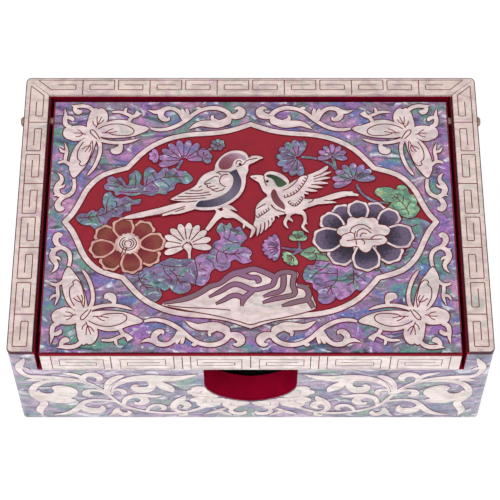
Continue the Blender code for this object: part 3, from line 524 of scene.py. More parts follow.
# The drawings from the lowest to the highest; each lies a step above the one before it
LAYERS = (
    "stems", "leaf_cluster_left", "leaf_behind_flower", "leaf_left_of_flower", "leaf_spray_left",
    "leaf_spray_middle", "leaf_upper_left", "leaf_upper_right", "leaf_violet", "border",
    "fan_flower_left", "fan_flower_back", "fan_flower_right", "fan_flower_small", "sprig_right",
    "bud_flower_back", "bud_flower_middle", "bud_flower_low", "star_flower_left", "leaf_fan_low",
    "daisy", "daisy_stem", "rock", "rock_bands", "rose_low", "rose_low_fill", "rose_high",
    "rose_high_fill", "rose_ruff", "rose_middle", "violet_back", "violet_back_fill", "violet_rear",
    "violet_rear_fill", "violet_low", "violet_low_fill", "violet_high", "violet_high_fill",
    "violet_heart", "bird_right", "bird_right_stain", "bird_right_eye", "bird_left",
    "bird_left_stain", "bird_left_eye",
)
EDGE = -0.3         # a drawing's lacquer edge lies this many steps under its top
GROOVE = 0.4        # its engraved lines reach this many steps over and under its top


def rise_of(layer, above):
    """Height over the sheet of so many steps above a layer's top."""
    sizes = bpy.context.scene.card_box_sizes
    steps = LAYERS.index(layer) - LAYERS.index("border") + above
    return sizes.pearl_rise + steps * sizes.step


# ---- pieces under construction


class Inlay:
    """A piece under construction: thin closed solids on one face of the box."""

    def __init__(self, place):
        self.place = place
        self.points, self.faces, self.slots, self.paints = [], [], [], []

    def add(self, outlines, low, high, paint, cuts=()):
        """Add the union of flat outlines, less the cuts, as a solid between two heights."""
        wanted = [turned_left([Vector(p) for p in outline]) for outline in outlines]
        points, edges = [], []
        for outline in wanted + [[Vector(p) for p in cut] for cut in cuts]:
            first, count = len(points), len(outline)
            points += outline
            edges += [(first + i, first + (i + 1) % count) for i in range(count)]
        flat, _, triangles, _, _, _ = delaunay_2d_cdt(points, edges, [], 0, MERGE)
        corners = np.array([tuple(p) for p in flat])
        middles = corners[np.array(triangles)].mean(axis=1)
        inside = covered(middles, wanted) & ~covered(middles, cuts)
        kept = [tuple(triangle) for triangle, use in zip(triangles, inside) if use]
        used = sorted({i for triangle in kept for i in triangle})
        below = {i: len(self.points) + n for n, i in enumerate(used)}
        above = {i: below[i] + len(used) for i in used}
        for height in (low, high):
            self.points += [self.place(*flat[i], height) for i in used]
        runs = {(t[i], t[(i + 1) % 3]) for t in kept for i in range(3)}
        sides = [(a, b) for a, b in sorted(runs) if (b, a) not in runs]
        made = [[above[i] for i in t] for t in kept] + [[below[i] for i in t[::-1]] for t in kept]
        made += [[below[a], below[b], above[b], above[a]] for a, b in sides]
        if paint not in self.paints:
            self.paints.append(paint)
        self.faces += made
        self.slots += [self.paints.index(paint)] * len(made)

    def shapes(self, drawn, paint, layer="border", edge="outline_lacquer", margin=None, cuts=(),
               **row):
        """Add filled loops and swelling strokes in shell, with the lacquer line round them."""
        sizes = bpy.context.scene.card_box_sizes
        paths = drawn.get("loops", ()), drawn.get("strokes", ())
        for tone, grow, above in ((edge, margin or sizes.outline / MM, EDGE), (paint, 0.0, 0.0)):
            if tone:
                outlines = shaped(
                    "swelling_strokes", tone, *paths, Steps=sizes.curve_steps, Grow=grow, **row,
                )
                self.add(outlines, -sizes.sink, rise_of(layer, above), tone, cuts)

    def lines(self, paths, paint="outline_lacquer", half=None, layer="border", above=0.0,
              span=None, steps=None):
        """Add engraved lines filled with lacquer, just over the pearl or between two heights."""
        sizes = bpy.context.scene.card_box_sizes
        half = half or sizes.line / MM / 2
        outlines = shaped(
            "swelling_strokes", paint, strokes=[[(*p, half) for p in path] for path in paths],
            Steps=steps or sizes.curve_steps, Fill_Loops=False,
        )
        low, high = span or [rise_of(layer, above + groove) for groove in (-GROOVE, GROOVE)]
        self.add(outlines, low, high, paint)

    def barbs(self, paths, layer, count):
        """Add rows of feather barbs."""
        sizes = bpy.context.scene.card_box_sizes
        outlines = shaped(
            "feather_barbs", "outline_lacquer", strokes=paths, Steps=sizes.curve_steps,
            Count=count, Barb=0.75, Lean=75.0, Half_Width=sizes.line / MM / 2,
        )
        self.add(outlines, rise_of(layer, -GROOVE), rise_of(layer, GROOVE), "outline_lacquer")

    def petals(self, paint, layer, middle, ring, petal, count, start=90.0, sweep=360.0, taper=0.2,
               grow=0.0, edge=None, wave=0.0):
        """Add petals in a ring or fan, with the lacquer line round them where edge names one."""
        sizes = bpy.context.scene.card_box_sizes
        for tone, margin, above in ((edge, sizes.outline / MM, EDGE), (paint, 0.0, 0.0)):
            if tone:
                outlines = shaped(
                    "petal_ring", tone, Count=count, Middle=(*middle, 0.0), Ring=(*ring, 0.0),
                    Petal=(*petal, 1.0), Taper=taper, Start=start, Sweep=sweep, Wave=wave,
                    Corners=56 if wave else 24, Grow=grow + margin,
                )
                self.add(outlines, -sizes.sink, rise_of(layer, above), tone)

    def bordered_petals(self, border, fill, layer, wave, *ring):
        """Add petals side by side, each with its own edge, wavy border and stained middle."""
        self.petals(border, layer, *ring, taper=0.26, edge="outline_lacquer", wave=wave)
        self.petals(fill, layer + "_fill", *ring, taper=0.26, grow=-PETAL_BORDER, wave=0.3 * wave)

    def done(self, node, body, kind="inlay"):
        """Make the piece; it rides on a body and stands for its CAD node, where it has one."""
        if not self.faces:
            raise RuntimeError(f"{node} came out empty")
        name = f"{node}_{kind}"
        mesh = bpy.data.meshes.new(name)
        mesh.from_pydata(self.points, [], self.faces)
        for paint in self.paints:
            mesh.materials.append(finish(paint))
        mesh.polygons.foreach_set("material_index", self.slots)
        mesh.validate()
        item = bpy.data.objects.new(name, mesh)
        bpy.context.scene.collection.objects.link(item)
        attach(item, body)
        if node in NODES:
            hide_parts(node)


# ---- materials


def millimetres(tree, scale=ONES, turn=(0.0, 0.0, 0.0), shift=(0.0, 0.0, 0.0)):
    """Object coordinates in millimetres, scaled, turned and shifted."""
    coords = put(tree, "ShaderNodeTexCoord").outputs["Object"]
    return out(
        tree, "ShaderNodeMapping", Vector=coords, Scale=tuple(s / MM for s in scale),
        Rotation=turn, Location=shift,
    )


def noise(tree, vector, scale, detail, distortion=0.0, roughness=0.5):
    """The value of a noise."""
    return out(
        tree, "ShaderNodeTexNoise", Vector=vector, Scale=scale, Detail=detail,
        Distortion=distortion, Roughness=roughness,
    )


def ramp(tree, value, stops):
    """A colour ramp through (place, colour) stops."""
    node = put(tree, "ShaderNodeValToRGB", Fac=value)
    points = node.color_ramp.elements
    while len(points) < len(stops):
        points.new(0.5)
    for point, (place, shade) in zip(points, stops):
        point.position = place
        point.color = (*shade, 1.0)
    return node.outputs[0]


def grey(tree, value, low, high, dark, light):
    """Spread a value from low..high to dark..light."""
    return out(tree, "ShaderNodeMapRange", Value=value, _1=low, _2=high, _3=dark, _4=light)


def mix(tree, kind, share, first, second):
    """Mix two colours."""
    settings = {"data_type": "RGBA", "blend_type": kind}
    return put(tree, "ShaderNodeMix", settings, _0=share, _6=first, _7=second).outputs[2]


def times(tree, first, second):
    """A colour multiplied by a colour or a grey value."""
    return mix(tree, "MULTIPLY", 1.0, first, second)


def bump(tree, value, depth):
    """The normal of a bump of a depth in metres."""
    return out(tree, "ShaderNodeBump", Strength=1.0, Distance=depth, Height=value)


def lacquer(tree, shader, base, spread=0.16, amount=0.25):
    """Deep glossy lacquer with a faint cloud and orange peel."""
    cloud = noise(tree, millimetres(tree), 0.22, 4.0, 0.6)
    peel = noise(tree, millimetres(tree), 1.2, 2.0)
    tone = ramp(tree, cloud, ((0.25, (1 - spread,) * 3), (0.75, WHITE)))
    wire(
        tree, shader, Base_Color=times(tree, base, tone), Normal=bump(tree, peel, 0.000004),
        Roughness=0.35, Coat_Weight=amount, Coat_Roughness=0.05, Specular_IOR_Level=0.15,
    )


def abalone(tree, shader, base, patches, shift, size=1.0, stretch=ONES):
    """Iridescent shell: soft patches of colour, dark streaks and painted glints, one over the other."""
    near = millimetres(tree, (1 / size,) * 3, shift=(shift, 0.0, 0.0))
    drift = put(tree, "ShaderNodeTexNoise", Vector=near, Scale=0.12, Detail=1.0).outputs["Color"]
    hue = base
    for i, (tone, scale, squash, low, high, amount) in enumerate(patches):
        narrow = (stretch[0] / size / squash, stretch[1] / size * squash, stretch[2] / size * squash)
        flow = millimetres(tree, narrow, (0.0, 0.0, 0.5), (shift + 31.0 * i, 17.0 * i, 5.0 * i))
        bent = multiply_add(tree, drift, (6.0 * squash,) * 3, flow)
        share = grey(tree, noise(tree, bent, scale, 2.5, 0.4), low, high, 0.0, amount)
        hue = mix(tree, "MIX", share, hue, tone)
    grain = millimetres(tree, tuple(1.4 * s for s in stretch), (0.0, 0.0, 0.7))
    crinkle = grey(tree, noise(tree, grain, 0.8, 4.0, 1.5, 0.68), 0.35, 0.65, 0.62, 1.32)
    wire(
        tree, shader, Base_Color=times(tree, hue, crinkle), Roughness=0.3, Coat_Weight=0.4,
        Coat_Roughness=0.06, Specular_IOR_Level=0.3,
    )


def pearl(tree, shader, base):
    """White shell with soft clouds of cream, rose and green, grey places and fine growth lines."""
    tint = ramp(tree, noise(tree, millimetres(tree), 0.2, 3.0, 1.4), (
        (0.30, (0.78, 0.86, 0.82)), (0.40, (1.0, 1.0, 0.93)), (0.48, (1.02, 0.95, 0.96)),
        (0.56, (1.0, 0.97, 0.88)), (0.68, (0.90, 0.78, 0.88)),
    ))
    dim = noise(tree, millimetres(tree, (0.5, 0.9, 0.9), (0.0, 0.0, 0.5)), 0.45, 4.0, 1.0)
    grain = noise(tree, millimetres(tree, (0.35, 2.2, 1.2), (0.0, 0.0, 0.25)), 0.8, 4.0, 0.8)
    fine = calc(
        tree, "MULTIPLY", grey(tree, grain, 0.3, 0.7, 0.88, 1.04),
        grey(tree, dim, 0.36, 0.6, 0.78, 1.06),
    )
    wire(
        tree, shader, Base_Color=times(tree, times(tree, base, tint), fine), Roughness=0.32,
        Coat_Weight=0.35, Coat_Roughness=0.08, Specular_IOR_Level=0.3,
    )


def shaded_shell(tree, shader, middle, reach, stops, squash=1.0):
    """Stained shell that shades outwards from a point of the lid's drawing, with fine streaks."""
    centre = on_lid(*middle, 0.0)
    far = put(tree, "ShaderNodeVectorMath", {"operation": "LENGTH"}, _0=out(
        tree, "ShaderNodeMapping", Vector=put(tree, "ShaderNodeTexCoord").outputs["Object"],
        Location=(-centre.x / MM / reach, -centre.y / MM / reach / squash, 0.0),
        Scale=(1 / MM / reach, 1 / MM / reach / squash, 0.0),
    )).outputs["Value"]
    streak = noise(tree, millimetres(tree, (1.6, 1.6, 1.0)), 1.0, 4.0, 0.6)
    far = calc(tree, "ADD", far, grey(tree, streak, 0.3, 0.7, -0.10, 0.10))
    wire(
        tree, shader, Base_Color=ramp(tree, far, stops), Roughness=0.35, Coat_Weight=0.2,
        Coat_Roughness=0.08, Specular_IOR_Level=0.2,
    )


def brass(tree, shader, base):
    """Dull brass with fine turning marks and dark spots."""
    worn = noise(tree, millimetres(tree, (6.0, 1.0, 1.0)), 1.6, 5.0)
    tone = ramp(tree, worn, ((0.3, (0.62, 0.55, 0.5)), (0.6, WHITE)))
    wire(
        tree, shader, Base_Color=times(tree, base, tone), Normal=bump(tree, worn, 0.00001),
        Roughness=grey(tree, worn, 0.3, 0.7, 0.5, 0.3), Metallic=1.0,
    )


def fibre(tree, shader, base, scale, depth):
    """Short black pile: fine speckle, soft sheen and a fuzzy bump."""
    speckle = noise(tree, millimetres(tree), scale, 4.0)
    tone = ramp(tree, speckle, ((0.3, (0.45, 0.45, 0.45)), (0.7, (1.7, 1.6, 1.7))))
    wire(
        tree, shader, Base_Color=times(tree, base, tone), Normal=bump(tree, speckle, depth),
        Roughness=0.95, Sheen_Weight=0.25, Sheen_Roughness=0.4,
    )


def seen_white(tree):
    """1 for rays straight from the camera, off a gloss or through glass, else 0."""
    rays = put(tree, "ShaderNodeLightPath").outputs
    seen = calc(tree, "MAXIMUM", rays["Is Camera Ray"], rays["Is Glossy Ray"])
    return calc(tree, "MAXIMUM", seen, rays["Is Transmission Ray"])


def white_floor(tree, shader, base):
    """A pale floor that keeps the shadow and shows white around it."""
    wire(tree, shader, Base_Color=base, Roughness=0.9, Specular_IOR_Level=0.0)
    glow = out(tree, "ShaderNodeEmission", Color=WHITE, Strength=1.2)
    share = calc(tree, "MULTIPLY", seen_white(tree), 0.7)
    both = out(tree, "ShaderNodeMixShader", _0=share, _1=shader.outputs[0], _2=glow)
    wire(tree, tree.nodes["Material Output"], Surface=both)


# Patches of abalone: colour, scale, squash, the noise where it starts and is full, and amount; the last,
# palest patch of each table is a painted glint
SEA = (
    (rgb(160, 104, 184), 0.17, 1.0, 0.46, 0.58, 0.9), (rgb(92, 154, 138), 0.17, 1.2, 0.50, 0.63, 0.9),
    (rgb(94, 116, 180), 0.18, 1.2, 0.52, 0.64, 0.85), (rgb(212, 146, 192), 0.24, 1.0, 0.55, 0.66, 0.8),
    (rgb(58, 56, 82), 0.32, 1.7, 0.53, 0.67, 0.85), (rgb(238, 240, 246), 0.42, 1.5, 0.58, 0.71, 0.85),
)
# The walls' abalone is paler than the lid's: a painted sheen of the grazing reflection on the upright
# walls
SEA_PALED_BY_PAINTED_SHEEN = (
    (rgb(138, 120, 166), 0.16, 1.0, 0.46, 0.60, 0.8), (rgb(140, 178, 154), 0.15, 1.1, 0.52, 0.64, 0.85),
    (rgb(120, 140, 168), 0.17, 1.2, 0.53, 0.65, 0.8), (rgb(206, 176, 206), 0.20, 1.2, 0.52, 0.64, 0.8),
    (rgb(80, 74, 96), 0.30, 1.6, 0.53, 0.67, 0.8), (rgb(240, 236, 244), 0.34, 1.5, 0.54, 0.70, 0.85),
)
TEAL = (
    (rgb(98, 150, 136), 0.17, 1.0, 0.48, 0.60, 0.9), (rgb(152, 110, 166), 0.20, 1.2, 0.52, 0.63, 0.9),
    (rgb(128, 152, 190), 0.24, 1.2, 0.54, 0.66, 0.8), (rgb(54, 54, 72), 0.34, 1.6, 0.53, 0.68, 0.8),
    (rgb(196, 226, 220), 0.42, 1.5, 0.59, 0.73, 0.8),
)
VIOLET = (
    (rgb(196, 134, 198), 0.20, 1.0, 0.48, 0.60, 0.9), (rgb(94, 146, 138), 0.20, 1.2, 0.53, 0.64, 0.9),
    (rgb(110, 116, 172), 0.22, 1.2, 0.54, 0.66, 0.8), (rgb(60, 54, 76), 0.34, 1.6, 0.54, 0.69, 0.8),
    (rgb(222, 220, 240), 0.42, 1.5, 0.59, 0.73, 0.8),
)
GREEN = (
    (rgb(152, 204, 160), 0.20, 1.0, 0.48, 0.60, 0.9), (rgb(180, 190, 142), 0.24, 1.2, 0.54, 0.66, 0.8),
    (rgb(60, 86, 76), 0.34, 1.6, 0.54, 0.68, 0.9), (rgb(204, 236, 218), 0.42, 1.5, 0.59, 0.73, 0.8),
)

# Each finish: its maker, and what that takes; a colour in words is one of the box's colours
FINISHES = {
    "box_lacquer": (lacquer, "lacquer"),
    # Brighter than the box's lacquer; on the side walls this is painted light, so the shaded gaps beside
    # the lid show red
    "notch_lacquer": (lacquer, rgb(186, 10, 56), 0.3, 0.2),
    "picture_lacquer_ground": (lacquer, "picture", 0.2, 0.1),
    "outline_lacquer": (lacquer, "line", 0.3, 0.0),
    "front_outline": (lacquer, "front_line", 0.3, 0.0),
    "vein_lacquer": (lacquer, rgb(126, 14, 32), 0.2, 0.0),
    # Painted shade: a darker lacquer on the walls' tops, where the gap beside the lid lies in shade
    "shade_lacquer": (lacquer, rgb(80, 8, 26), 0.2, 0.0),
    "rim_edge": (lacquer, rgb(92, 54, 66), 0.3, 0.0),
    "red_line": (lacquer, rgb(150, 22, 36), 0.2, 0.1),
    "fret_line": (lacquer, "fret", 0.3, 0.0),
    "white_pearl": (pearl, "pearl"),
    "lid_pearl": (pearl, "lid_pearl"),
    "rim_pearl": (pearl, "rim"),
    "rose_border": (pearl, rgb(226, 178, 166)),
    "lid_abalone": (abalone, rgb(142, 120, 146), SEA, 0.0),
    # Paler base and patches: painted sheen of the walls' grazing reflection
    "wall_abalone": (abalone, rgb(162, 152, 172), SEA_PALED_BY_PAINTED_SHEEN, 40.0, 1.0, (0.8, 0.8, 1.2)),
    "sea_abalone": (abalone, rgb(116, 104, 138), TEAL, 17.0, 0.6),
    "violet_abalone": (abalone, rgb(148, 112, 162), VIOLET, 29.0, 0.6),
    "green_abalone": (abalone, rgb(104, 146, 124), GREEN, 53.0, 0.6),
    "rose_petal": (shaded_shell, (-28.3, 28.9), 8.5, (
        (0.3, rgb(94, 20, 32)), (0.55, rgb(130, 36, 48)), (0.78, rgb(138, 68, 54)),
        (1.0, rgb(104, 36, 36)),
    ), 0.85),
    "violet_petal": (shaded_shell, (26.0, 31.2), 11.5, (
        (0.46, rgb(30, 25, 38)), (0.66, rgb(58, 46, 70)), (0.88, rgb(112, 94, 122)),
        (1.0, rgb(96, 82, 110)),
    ), 0.8),
    "breast_violet": (shaded_shell, (-5.4, 42.6), 8.0, (
        (0.1, rgb(118, 106, 128)), (0.5, rgb(86, 76, 100)), (0.9, rgb(50, 44, 66)),
    )),
    "cap_mauve": (shaded_shell, (-6.4, 50.2), 6.0, (
        (0.1, rgb(126, 60, 70)), (0.5, rgb(142, 88, 104)), (0.9, rgb(184, 152, 172)),
    )),
    "breast_red": (shaded_shell, (6.0, 43.6), 6.0, (
        (0.1, rgb(112, 48, 56)), (0.9, rgb(136, 80, 88)),
    )),
    "cap_green": (shaded_shell, (4.4, 48.2), 5.5, ((0.1, rgb(34, 52, 36)), (0.9, rgb(66, 94, 62)))),
    "rock_mauve": (shaded_shell, (0.0, 18.0), 9.0, (
        (0.1, rgb(150, 108, 146)), (0.7, rgb(138, 98, 124)), (1.0, rgb(132, 104, 118)),
    )),
    "pin_brass": (brass, "brass"),
    "black_flock": (fibre, "flock", 9.0, 0.00006),
    "black_felt": (fibre, rgb(34, 32, 34), 5.0, 0.00008),
    "floor_white": (white_floor, "floor"),
}


def finish(name):
    """A material by name, made at its first use."""
    material = bpy.data.materials.get(name)
    if not material:
        material = bpy.data.materials.new(name)
        material.use_nodes = True
        tree = material.node_tree
        maker, base, *rest = FINISHES[name]
        if isinstance(base, str):
            base = tuple(getattr(bpy.context.scene.card_box_colours, base))
        maker(tree, tree.nodes["Principled BSDF"], base, *rest)
    return material


def dress(paint, *nodes):
    """Give CAD nodes that keep their shape a better material."""
    material = finish(paint)
    for node in nodes:
        mesh = NODES[node].data
        if not mesh.materials:
            mesh.materials.append(material)
        for i in range(len(mesh.materials)):
            mesh.materials[i] = material
        for slot in NODES[node].material_slots:
            slot.material = material


# ---- drawings of the lid's border

BUTTERFLY = drawing(loops=(
    (37.4, 61.9, 36.2, 62.9, 34.4, 63.8, 32.4, 64.3, 30.2, 64.1, 28.6, 63.3, 27, 62.7, 25.3, 62.3,
     24.6, 61.7, 25.3, 61, 26.8, 60.2, 28.6, 59.5, 31, 59.1, 33.6, 59, 36, 59.3, 37.8, 60.2),
    (36.9, 61.6, 35.3, 62.9, 34.7, 64.6, 34.9, 66.2, 35.7, 67.4, 36.5, 67.7, 37.1, 67.4, 37.8, 67.8,
     38.6, 67.1, 39.2, 65.8, 39.5, 64.2, 39.7, 62.9, 39.4, 61.4, 38, 60.6),
    (38.6, 61.2, 40.2, 62.4, 41.8, 62.6, 43.4, 62.4, 44.8, 61.9, 45.3, 60.9, 45.2, 59.7, 44.4, 58.8,
     43.6, 58.5, 42.6, 58.1, 41.2, 58.3, 40.2, 59, 38.8, 59.4),
    (38.6, 59.9, 40, 59, 41.2, 57.9, 42.3, 56.2, 43, 54.2, 43.4, 52, 43.4, 50.2, 43, 48.8, 42.5, 47.8,
     42, 47.6, 41.4, 48.2, 40.6, 49.4, 39.6, 50.8, 38.8, 52.6, 38.1, 54.6, 37.6, 56.6, 37.3, 58.8),
), strokes=(
    (36.6, 58.8, 0.6, 38, 60.2, 1, 38.9, 61, 0.7),
    (37.2, 58.9, 0.5, 35.6, 58.2, 0.45, 33, 57.6, 0.42, 30.4, 57.7, 0.4, 28.4, 58.2, 0.35,
     26.9, 58.8, 0.06),
    (37, 58.8, 0.5, 36.3, 57, 0.45, 36.2, 55, 0.42, 36.6, 52.9, 0.4, 37.4, 50.7, 0.4, 38.4, 49, 0.3,
     39, 48.2, 0.06),
    (31.5, 57.5, 0.4, 31.3, 56.6, 0.55, 31.9, 55.5, 1.05, 32.9, 55.2, 0.8, 33.3, 55.9, 0.3),
    (38.2, 66.8, 0.4, 39.2, 67.9, 0.5, 40.8, 68.4, 0.5, 42.4, 68.3, 0.45, 43.8, 68.5, 0.05),
    (42.9, 68.1, 0.4, 42.7, 67.2, 0.55, 41.9, 66.6, 0.75, 41.1, 66.9, 0.3),
    (43.6, 62.2, 0.5, 44.8, 62.9, 0.55, 45.1, 64.4, 0.5, 45, 65.8, 0.38, 45.3, 67.5, 0.05),
    (45, 64.9, 0.45, 44.1, 65, 0.5, 43.3, 64.5, 0.5, 43.2, 63.9, 0.2),
    (29.6, 63.9, 0.45, 28.9, 65, 0.45, 27.9, 65.6, 0.55, 27.2, 66.5, 0.8),
    (28.7, 65.2, 0.4, 30, 65.9, 0.4, 31.6, 66.6, 0.38, 33.7, 66.6, 0.25),
    (30.6, 66.2, 0.34, 30.5, 67.2, 0.34, 30.2, 67.8, 0.2),
    (43.2, 51.2, 0.45, 44, 51.9, 0.4, 45, 52.2, 0.4, 46.1, 51.8, 0.3),
    (44.5, 52, 0.38, 44.4, 53.6, 0.4, 44.2, 55.4, 0.36, 44.8, 57.6, 0.05),
    (44.4, 55, 0.34, 45.4, 55.2, 0.34, 46, 56.1, 0.15),
), lines=(
    (36.9, 61.6, 35.6, 62.4, 33.6, 63, 31.4, 63, 29.6, 62.4, 28.4, 61.5, 28.3, 60.5, 29.3, 59.8,
     31, 59.7, 33.4, 59.9),
    (38.2, 58.2, 38, 56.2, 38.4, 54.2, 38.9, 52.4, 39.6, 51.3, 40.3, 50.9, 41, 51.4, 40.8, 52.2,
     41.5, 53, 41.6, 54.6, 41.2, 56.2, 40.3, 57.8),
    (36.4, 58.7, 37.2, 60.2, 38, 61.2, 38.7, 61.3, 38.7, 60.5, 37.9, 59.5, 37.1, 58.7),
), veins=(
    (36, 60.5, 34.2, 60.5, 32.3, 60.9), (35.2, 60.5, 34.2, 61.3, 33.2, 61.7),
    (34.4, 60.5, 33.5, 60, 32.5, 59.9), (37.5, 61.9, 36.9, 63.4, 36.2, 65.2),
    (37.1, 62.9, 36.2, 63.5, 35.6, 64.4), (37.1, 62.9, 37.3, 64.1, 37.3, 65.3),
    (37.4, 62.3, 38.1, 63, 38.3, 64), (39.8, 60, 41.2, 60.4, 42.7, 60.4),
    (40.6, 60.2, 41.2, 61, 42, 61.4), (40.5, 60.1, 41.3, 59.5, 42.3, 59.3),
    (38.4, 57.9, 38.9, 56.5, 39.8, 55), (38.7, 57, 38.5, 55.9, 38.9, 54.9),
    (38.8, 56.8, 39.8, 56.4, 40.6, 55.7),
))

EDGE_SCROLL = drawing(strokes=(
    (24.2, 61.8, 0.3, 22.6, 61.4, 0.4, 20.6, 61.5, 0.45, 18.6, 62.2, 0.5, 16.8, 63.3, 0.5,
     15.2, 64.6, 0.5, 13.8, 66, 0.5, 12.2, 67.1, 0.5, 10.4, 67.7, 0.5, 8.4, 67.8, 0.55, 6.6, 67.2, 0.55,
     5.4, 66.2, 0.6, 5, 65, 0.6),
    (5, 65.2, 0.6, 6, 63.9, 0.9, 7.8, 63.1, 1.05, 9.8, 63.1, 1, 12, 63.2, 0.75, 13.6, 62.5, 0.5,
     14.9, 61.6, 0.05), (8, 63.8, 0.5, 9.3, 64.6, 0.45, 9.2, 65.6, 0.25),
    (5.1, 64.8, 0.4, 5.1, 63.6, 0.3, 5.8, 62.8, 0.05),
    (5.2, 65.6, 0.6, 3.9, 65.3, 0.8, 2.6, 65.9, 1.05, 2.2, 66.9, 0.9, 3, 67.8, 0.5, 3.9, 67.5, 0.25),
    (12, 67.1, 0.4, 12.7, 67.8, 0.42, 13.3, 67.6, 0.3),
    (15.6, 64.3, 0.4, 15.3, 66, 0.42, 15.6, 67.5, 0.35), (16, 64, 0.5, 16.2, 66, 0.5, 16.8, 67.5, 0.3),
    (16.2, 64.4, 0.5, 17.2, 66.4, 0.55, 18.8, 67.6, 0.5, 20.6, 67.6, 0.6, 22, 66.8, 0.62,
     23.4, 66.6, 0.45, 25, 67.2, 0.05),
    (21.4, 67, 0.6, 21.9, 65.7, 0.7, 21.1, 64.6, 0.7, 20, 64.4, 0.4, 19.9, 65.1, 0.2),
))

END_SCROLL = drawing(strokes=(
    (42.1, 47.2, 0.4, 41.9, 45.4, 0.42, 42.2, 43.7, 0.48, 43.2, 42.6, 0.5, 44.4, 42, 0.5, 45.3, 41, 0.6,
     45.6, 39.8, 0.7, 45, 38.8, 0.75, 44.1, 39.1, 0.45),
    (44.4, 42.2, 0.5, 45.6, 42.9, 0.6, 46.1, 44.2, 0.7, 45.7, 45.6, 0.65, 45, 46.8, 0.48,
     45.2, 48, 0.35, 46.1, 49, 0.05), (45.4, 44.9, 0.45, 44.6, 45.1, 0.32, 44.2, 45.7, 0.15),
    (46, 42.8, 0.35, 46.7, 42.4, 0.1),
))


def cartouche(grow):
    """The border of the picture, grown outwards."""
    quarter = [(0, 27.8), (5, 25.9), (10, 25.1), (15, 24.7), (20, 23.4), (25, 20.4), (29.5, 15.1)]
    side = [(29.5, 15.1), (35, 13.2), (38.5, 9.6), (40.5, 5.2), (42.0, 2.2), (43.7, 0)]
    corner = spline(quarter, 3) + spline(side, 3)[1:]
    right = corner + [(x, -y) for x, y in reversed(corner)][1:]
    loop = right + [(-x, y) for x, y in reversed(right)][1:-1]
    grown = []
    for i, (x, y) in enumerate(loop):
        before, after = loop[i - 1], loop[(i + 1) % len(loop)]
        run = Vector((after[0] - before[0], after[1] - before[1])).normalized()
        grown.append((x - run.y * grow, y + DRAWING_MIDDLE + run.x * grow))
    return grown


# ---- drawings of the picture

LEFT_BIRD = drawing(loops=(
    (3, 53.2, 1.6, 53.7, 0.2, 53.6, -0.4, 53.1, -0.9, 54.1, -1.8, 54.9, -3.2, 55.2, -4.8, 55,
     -6.4, 54.1, -7.6, 52.8, -8.4, 51.2, -8.7, 49.6, -9.8, 49.1, -11.2, 48.2, -12.2, 46.9, -12.9, 45.4,
     -14.2, 44.3, -15.8, 43.5, -17.4, 42.4, -18.9, 41.3, -16.6, 40.9, -14.4, 40.5, -14.4, 39.2,
     -12.6, 38.5, -10.4, 38.3, -8.2, 38.6, -6.2, 39.4, -4.2, 40.7, -2.6, 42.3, -1.6, 44.2, -1.2, 46.2,
     -1.1, 48, -0.6, 49.4, -0.5, 51, 0.8, 51.8, 2, 52.6),
), strokes=(
    (-13.4, 39.8, 0.9, -17, 39.3, 1, -21, 38.1, 0.95, -25, 37.2, 0.75, -28.6, 36.4, 0.5,
     -30, 36.1, 0.08), (-13.6, 39.2, 0.7, -16.4, 38.1, 0.6, -18.4, 37.3, 0.15),
    (-16.4, 38.8, 0.7, -19.2, 37.6, 0.5, -20.8, 36.8, 0.12), (-8.3, 38.9, 0.3, -7.8, 37.7, 0.2),
    (-6.4, 38.4, 1.3, -5.6, 37.4, 1.3, -3.8, 36.8, 0.65, -2.2, 35.6, 0.5, -0.6, 34.2, 0.5,
     0.6, 33.2, 0.48, 0.4, 32, 0.36, -0.1, 30.8, 0.15), (-1.4, 34.8, 0.4, -1.7, 33.3, 0.12),
    (-6.8, 37.8, 1.2, -8.2, 36, 0.65, -9.4, 34.2, 0.55, -10.3, 32.8, 0.4),
    (-6.6, 39.2, 0.7, -4.8, 39.1, 0.5, -3.2, 38.1, 0.05),
), lines=(
    (-5.4, 48.3, -6.6, 48.2, -7.3, 47.2, -7.3, 46, -6.6, 45.2, -5.9, 44.9),
    (-8.2, 48.8, -7.4, 49.2, -6, 49.1, -4.9, 49.1), (-7.8, 49, -7.1, 48.2),
    (-7.6, 47.6, -8.4, 47.8, -9.4, 47.2, -10.4, 46.5, -11, 45.7, -10.2, 45.2, -10.4, 44.8, -9.4, 44.4,
     -9, 43.9, -8, 43.6, -6.8, 43.9, -6.2, 44.5), (-10.8, 45.7, -9.4, 45.9), (-9.9, 44.9, -8.4, 45.1),
    (-9, 44.1, -7.6, 44.5), (-15.6, 43.1, -12.6, 42.9, -9.8, 43.4),
    (-17.2, 42.1, -13, 42.2, -9.4, 42.7), (-18, 41.3, -14, 41.5, -10.6, 41.8),
    (-14.4, 43.8, -12.4, 43.7, -11.4, 44.1), (-12.4, 44.6, -11.6, 45.2),
    (-18.9, 40.6, -15, 40.6, -12.6, 40.9), (-25, 36.4, -21, 37.3, -17.6, 38.6, -15.4, 39.4),
    (-17.8, 37.9, -15.6, 38.8), (-3.4, 50.6, -2.6, 50.8, -1.8, 51.2, -1.1, 52.1, -0.2, 52.6, 1.6, 53),
    (-3.5, 51.4, -3.3, 52.1, -2.7, 52.3, -2.1, 51.9),
))

LEFT_CAP = drawing(loops=(
    (-7.5, 50.3, -7.7, 51.5, -7, 52.8, -5.8, 53.9, -4.2, 54.5, -2.6, 54.3, -1.5, 53.6, -1, 52.8,
     -1.3, 52.3, -1.9, 52.5, -2.6, 52.9, -3.6, 52.6, -4.2, 51.6, -4.5, 50.6, -5.2, 50, -6.2, 49.7,
     -7, 49.8),
))

LEFT_BREAST = drawing(loops=(
    (-3.4, 49.8, -4.2, 49.5, -5.1, 48.8, -4.4, 48, -4.1, 46.8, -4.4, 45.2, -5.2, 43.8, -6.6, 42.6,
     -8.4, 41.7, -10.4, 41.1, -12, 40.9, -12.9, 39.8, -12.6, 39.2, -10.4, 39.1, -8, 39.4, -6, 40.3,
     -4.2, 41.6, -2.9, 43.2, -2.3, 45, -2.2, 46.8, -2.7, 48.2, -3.1, 49.2),
))

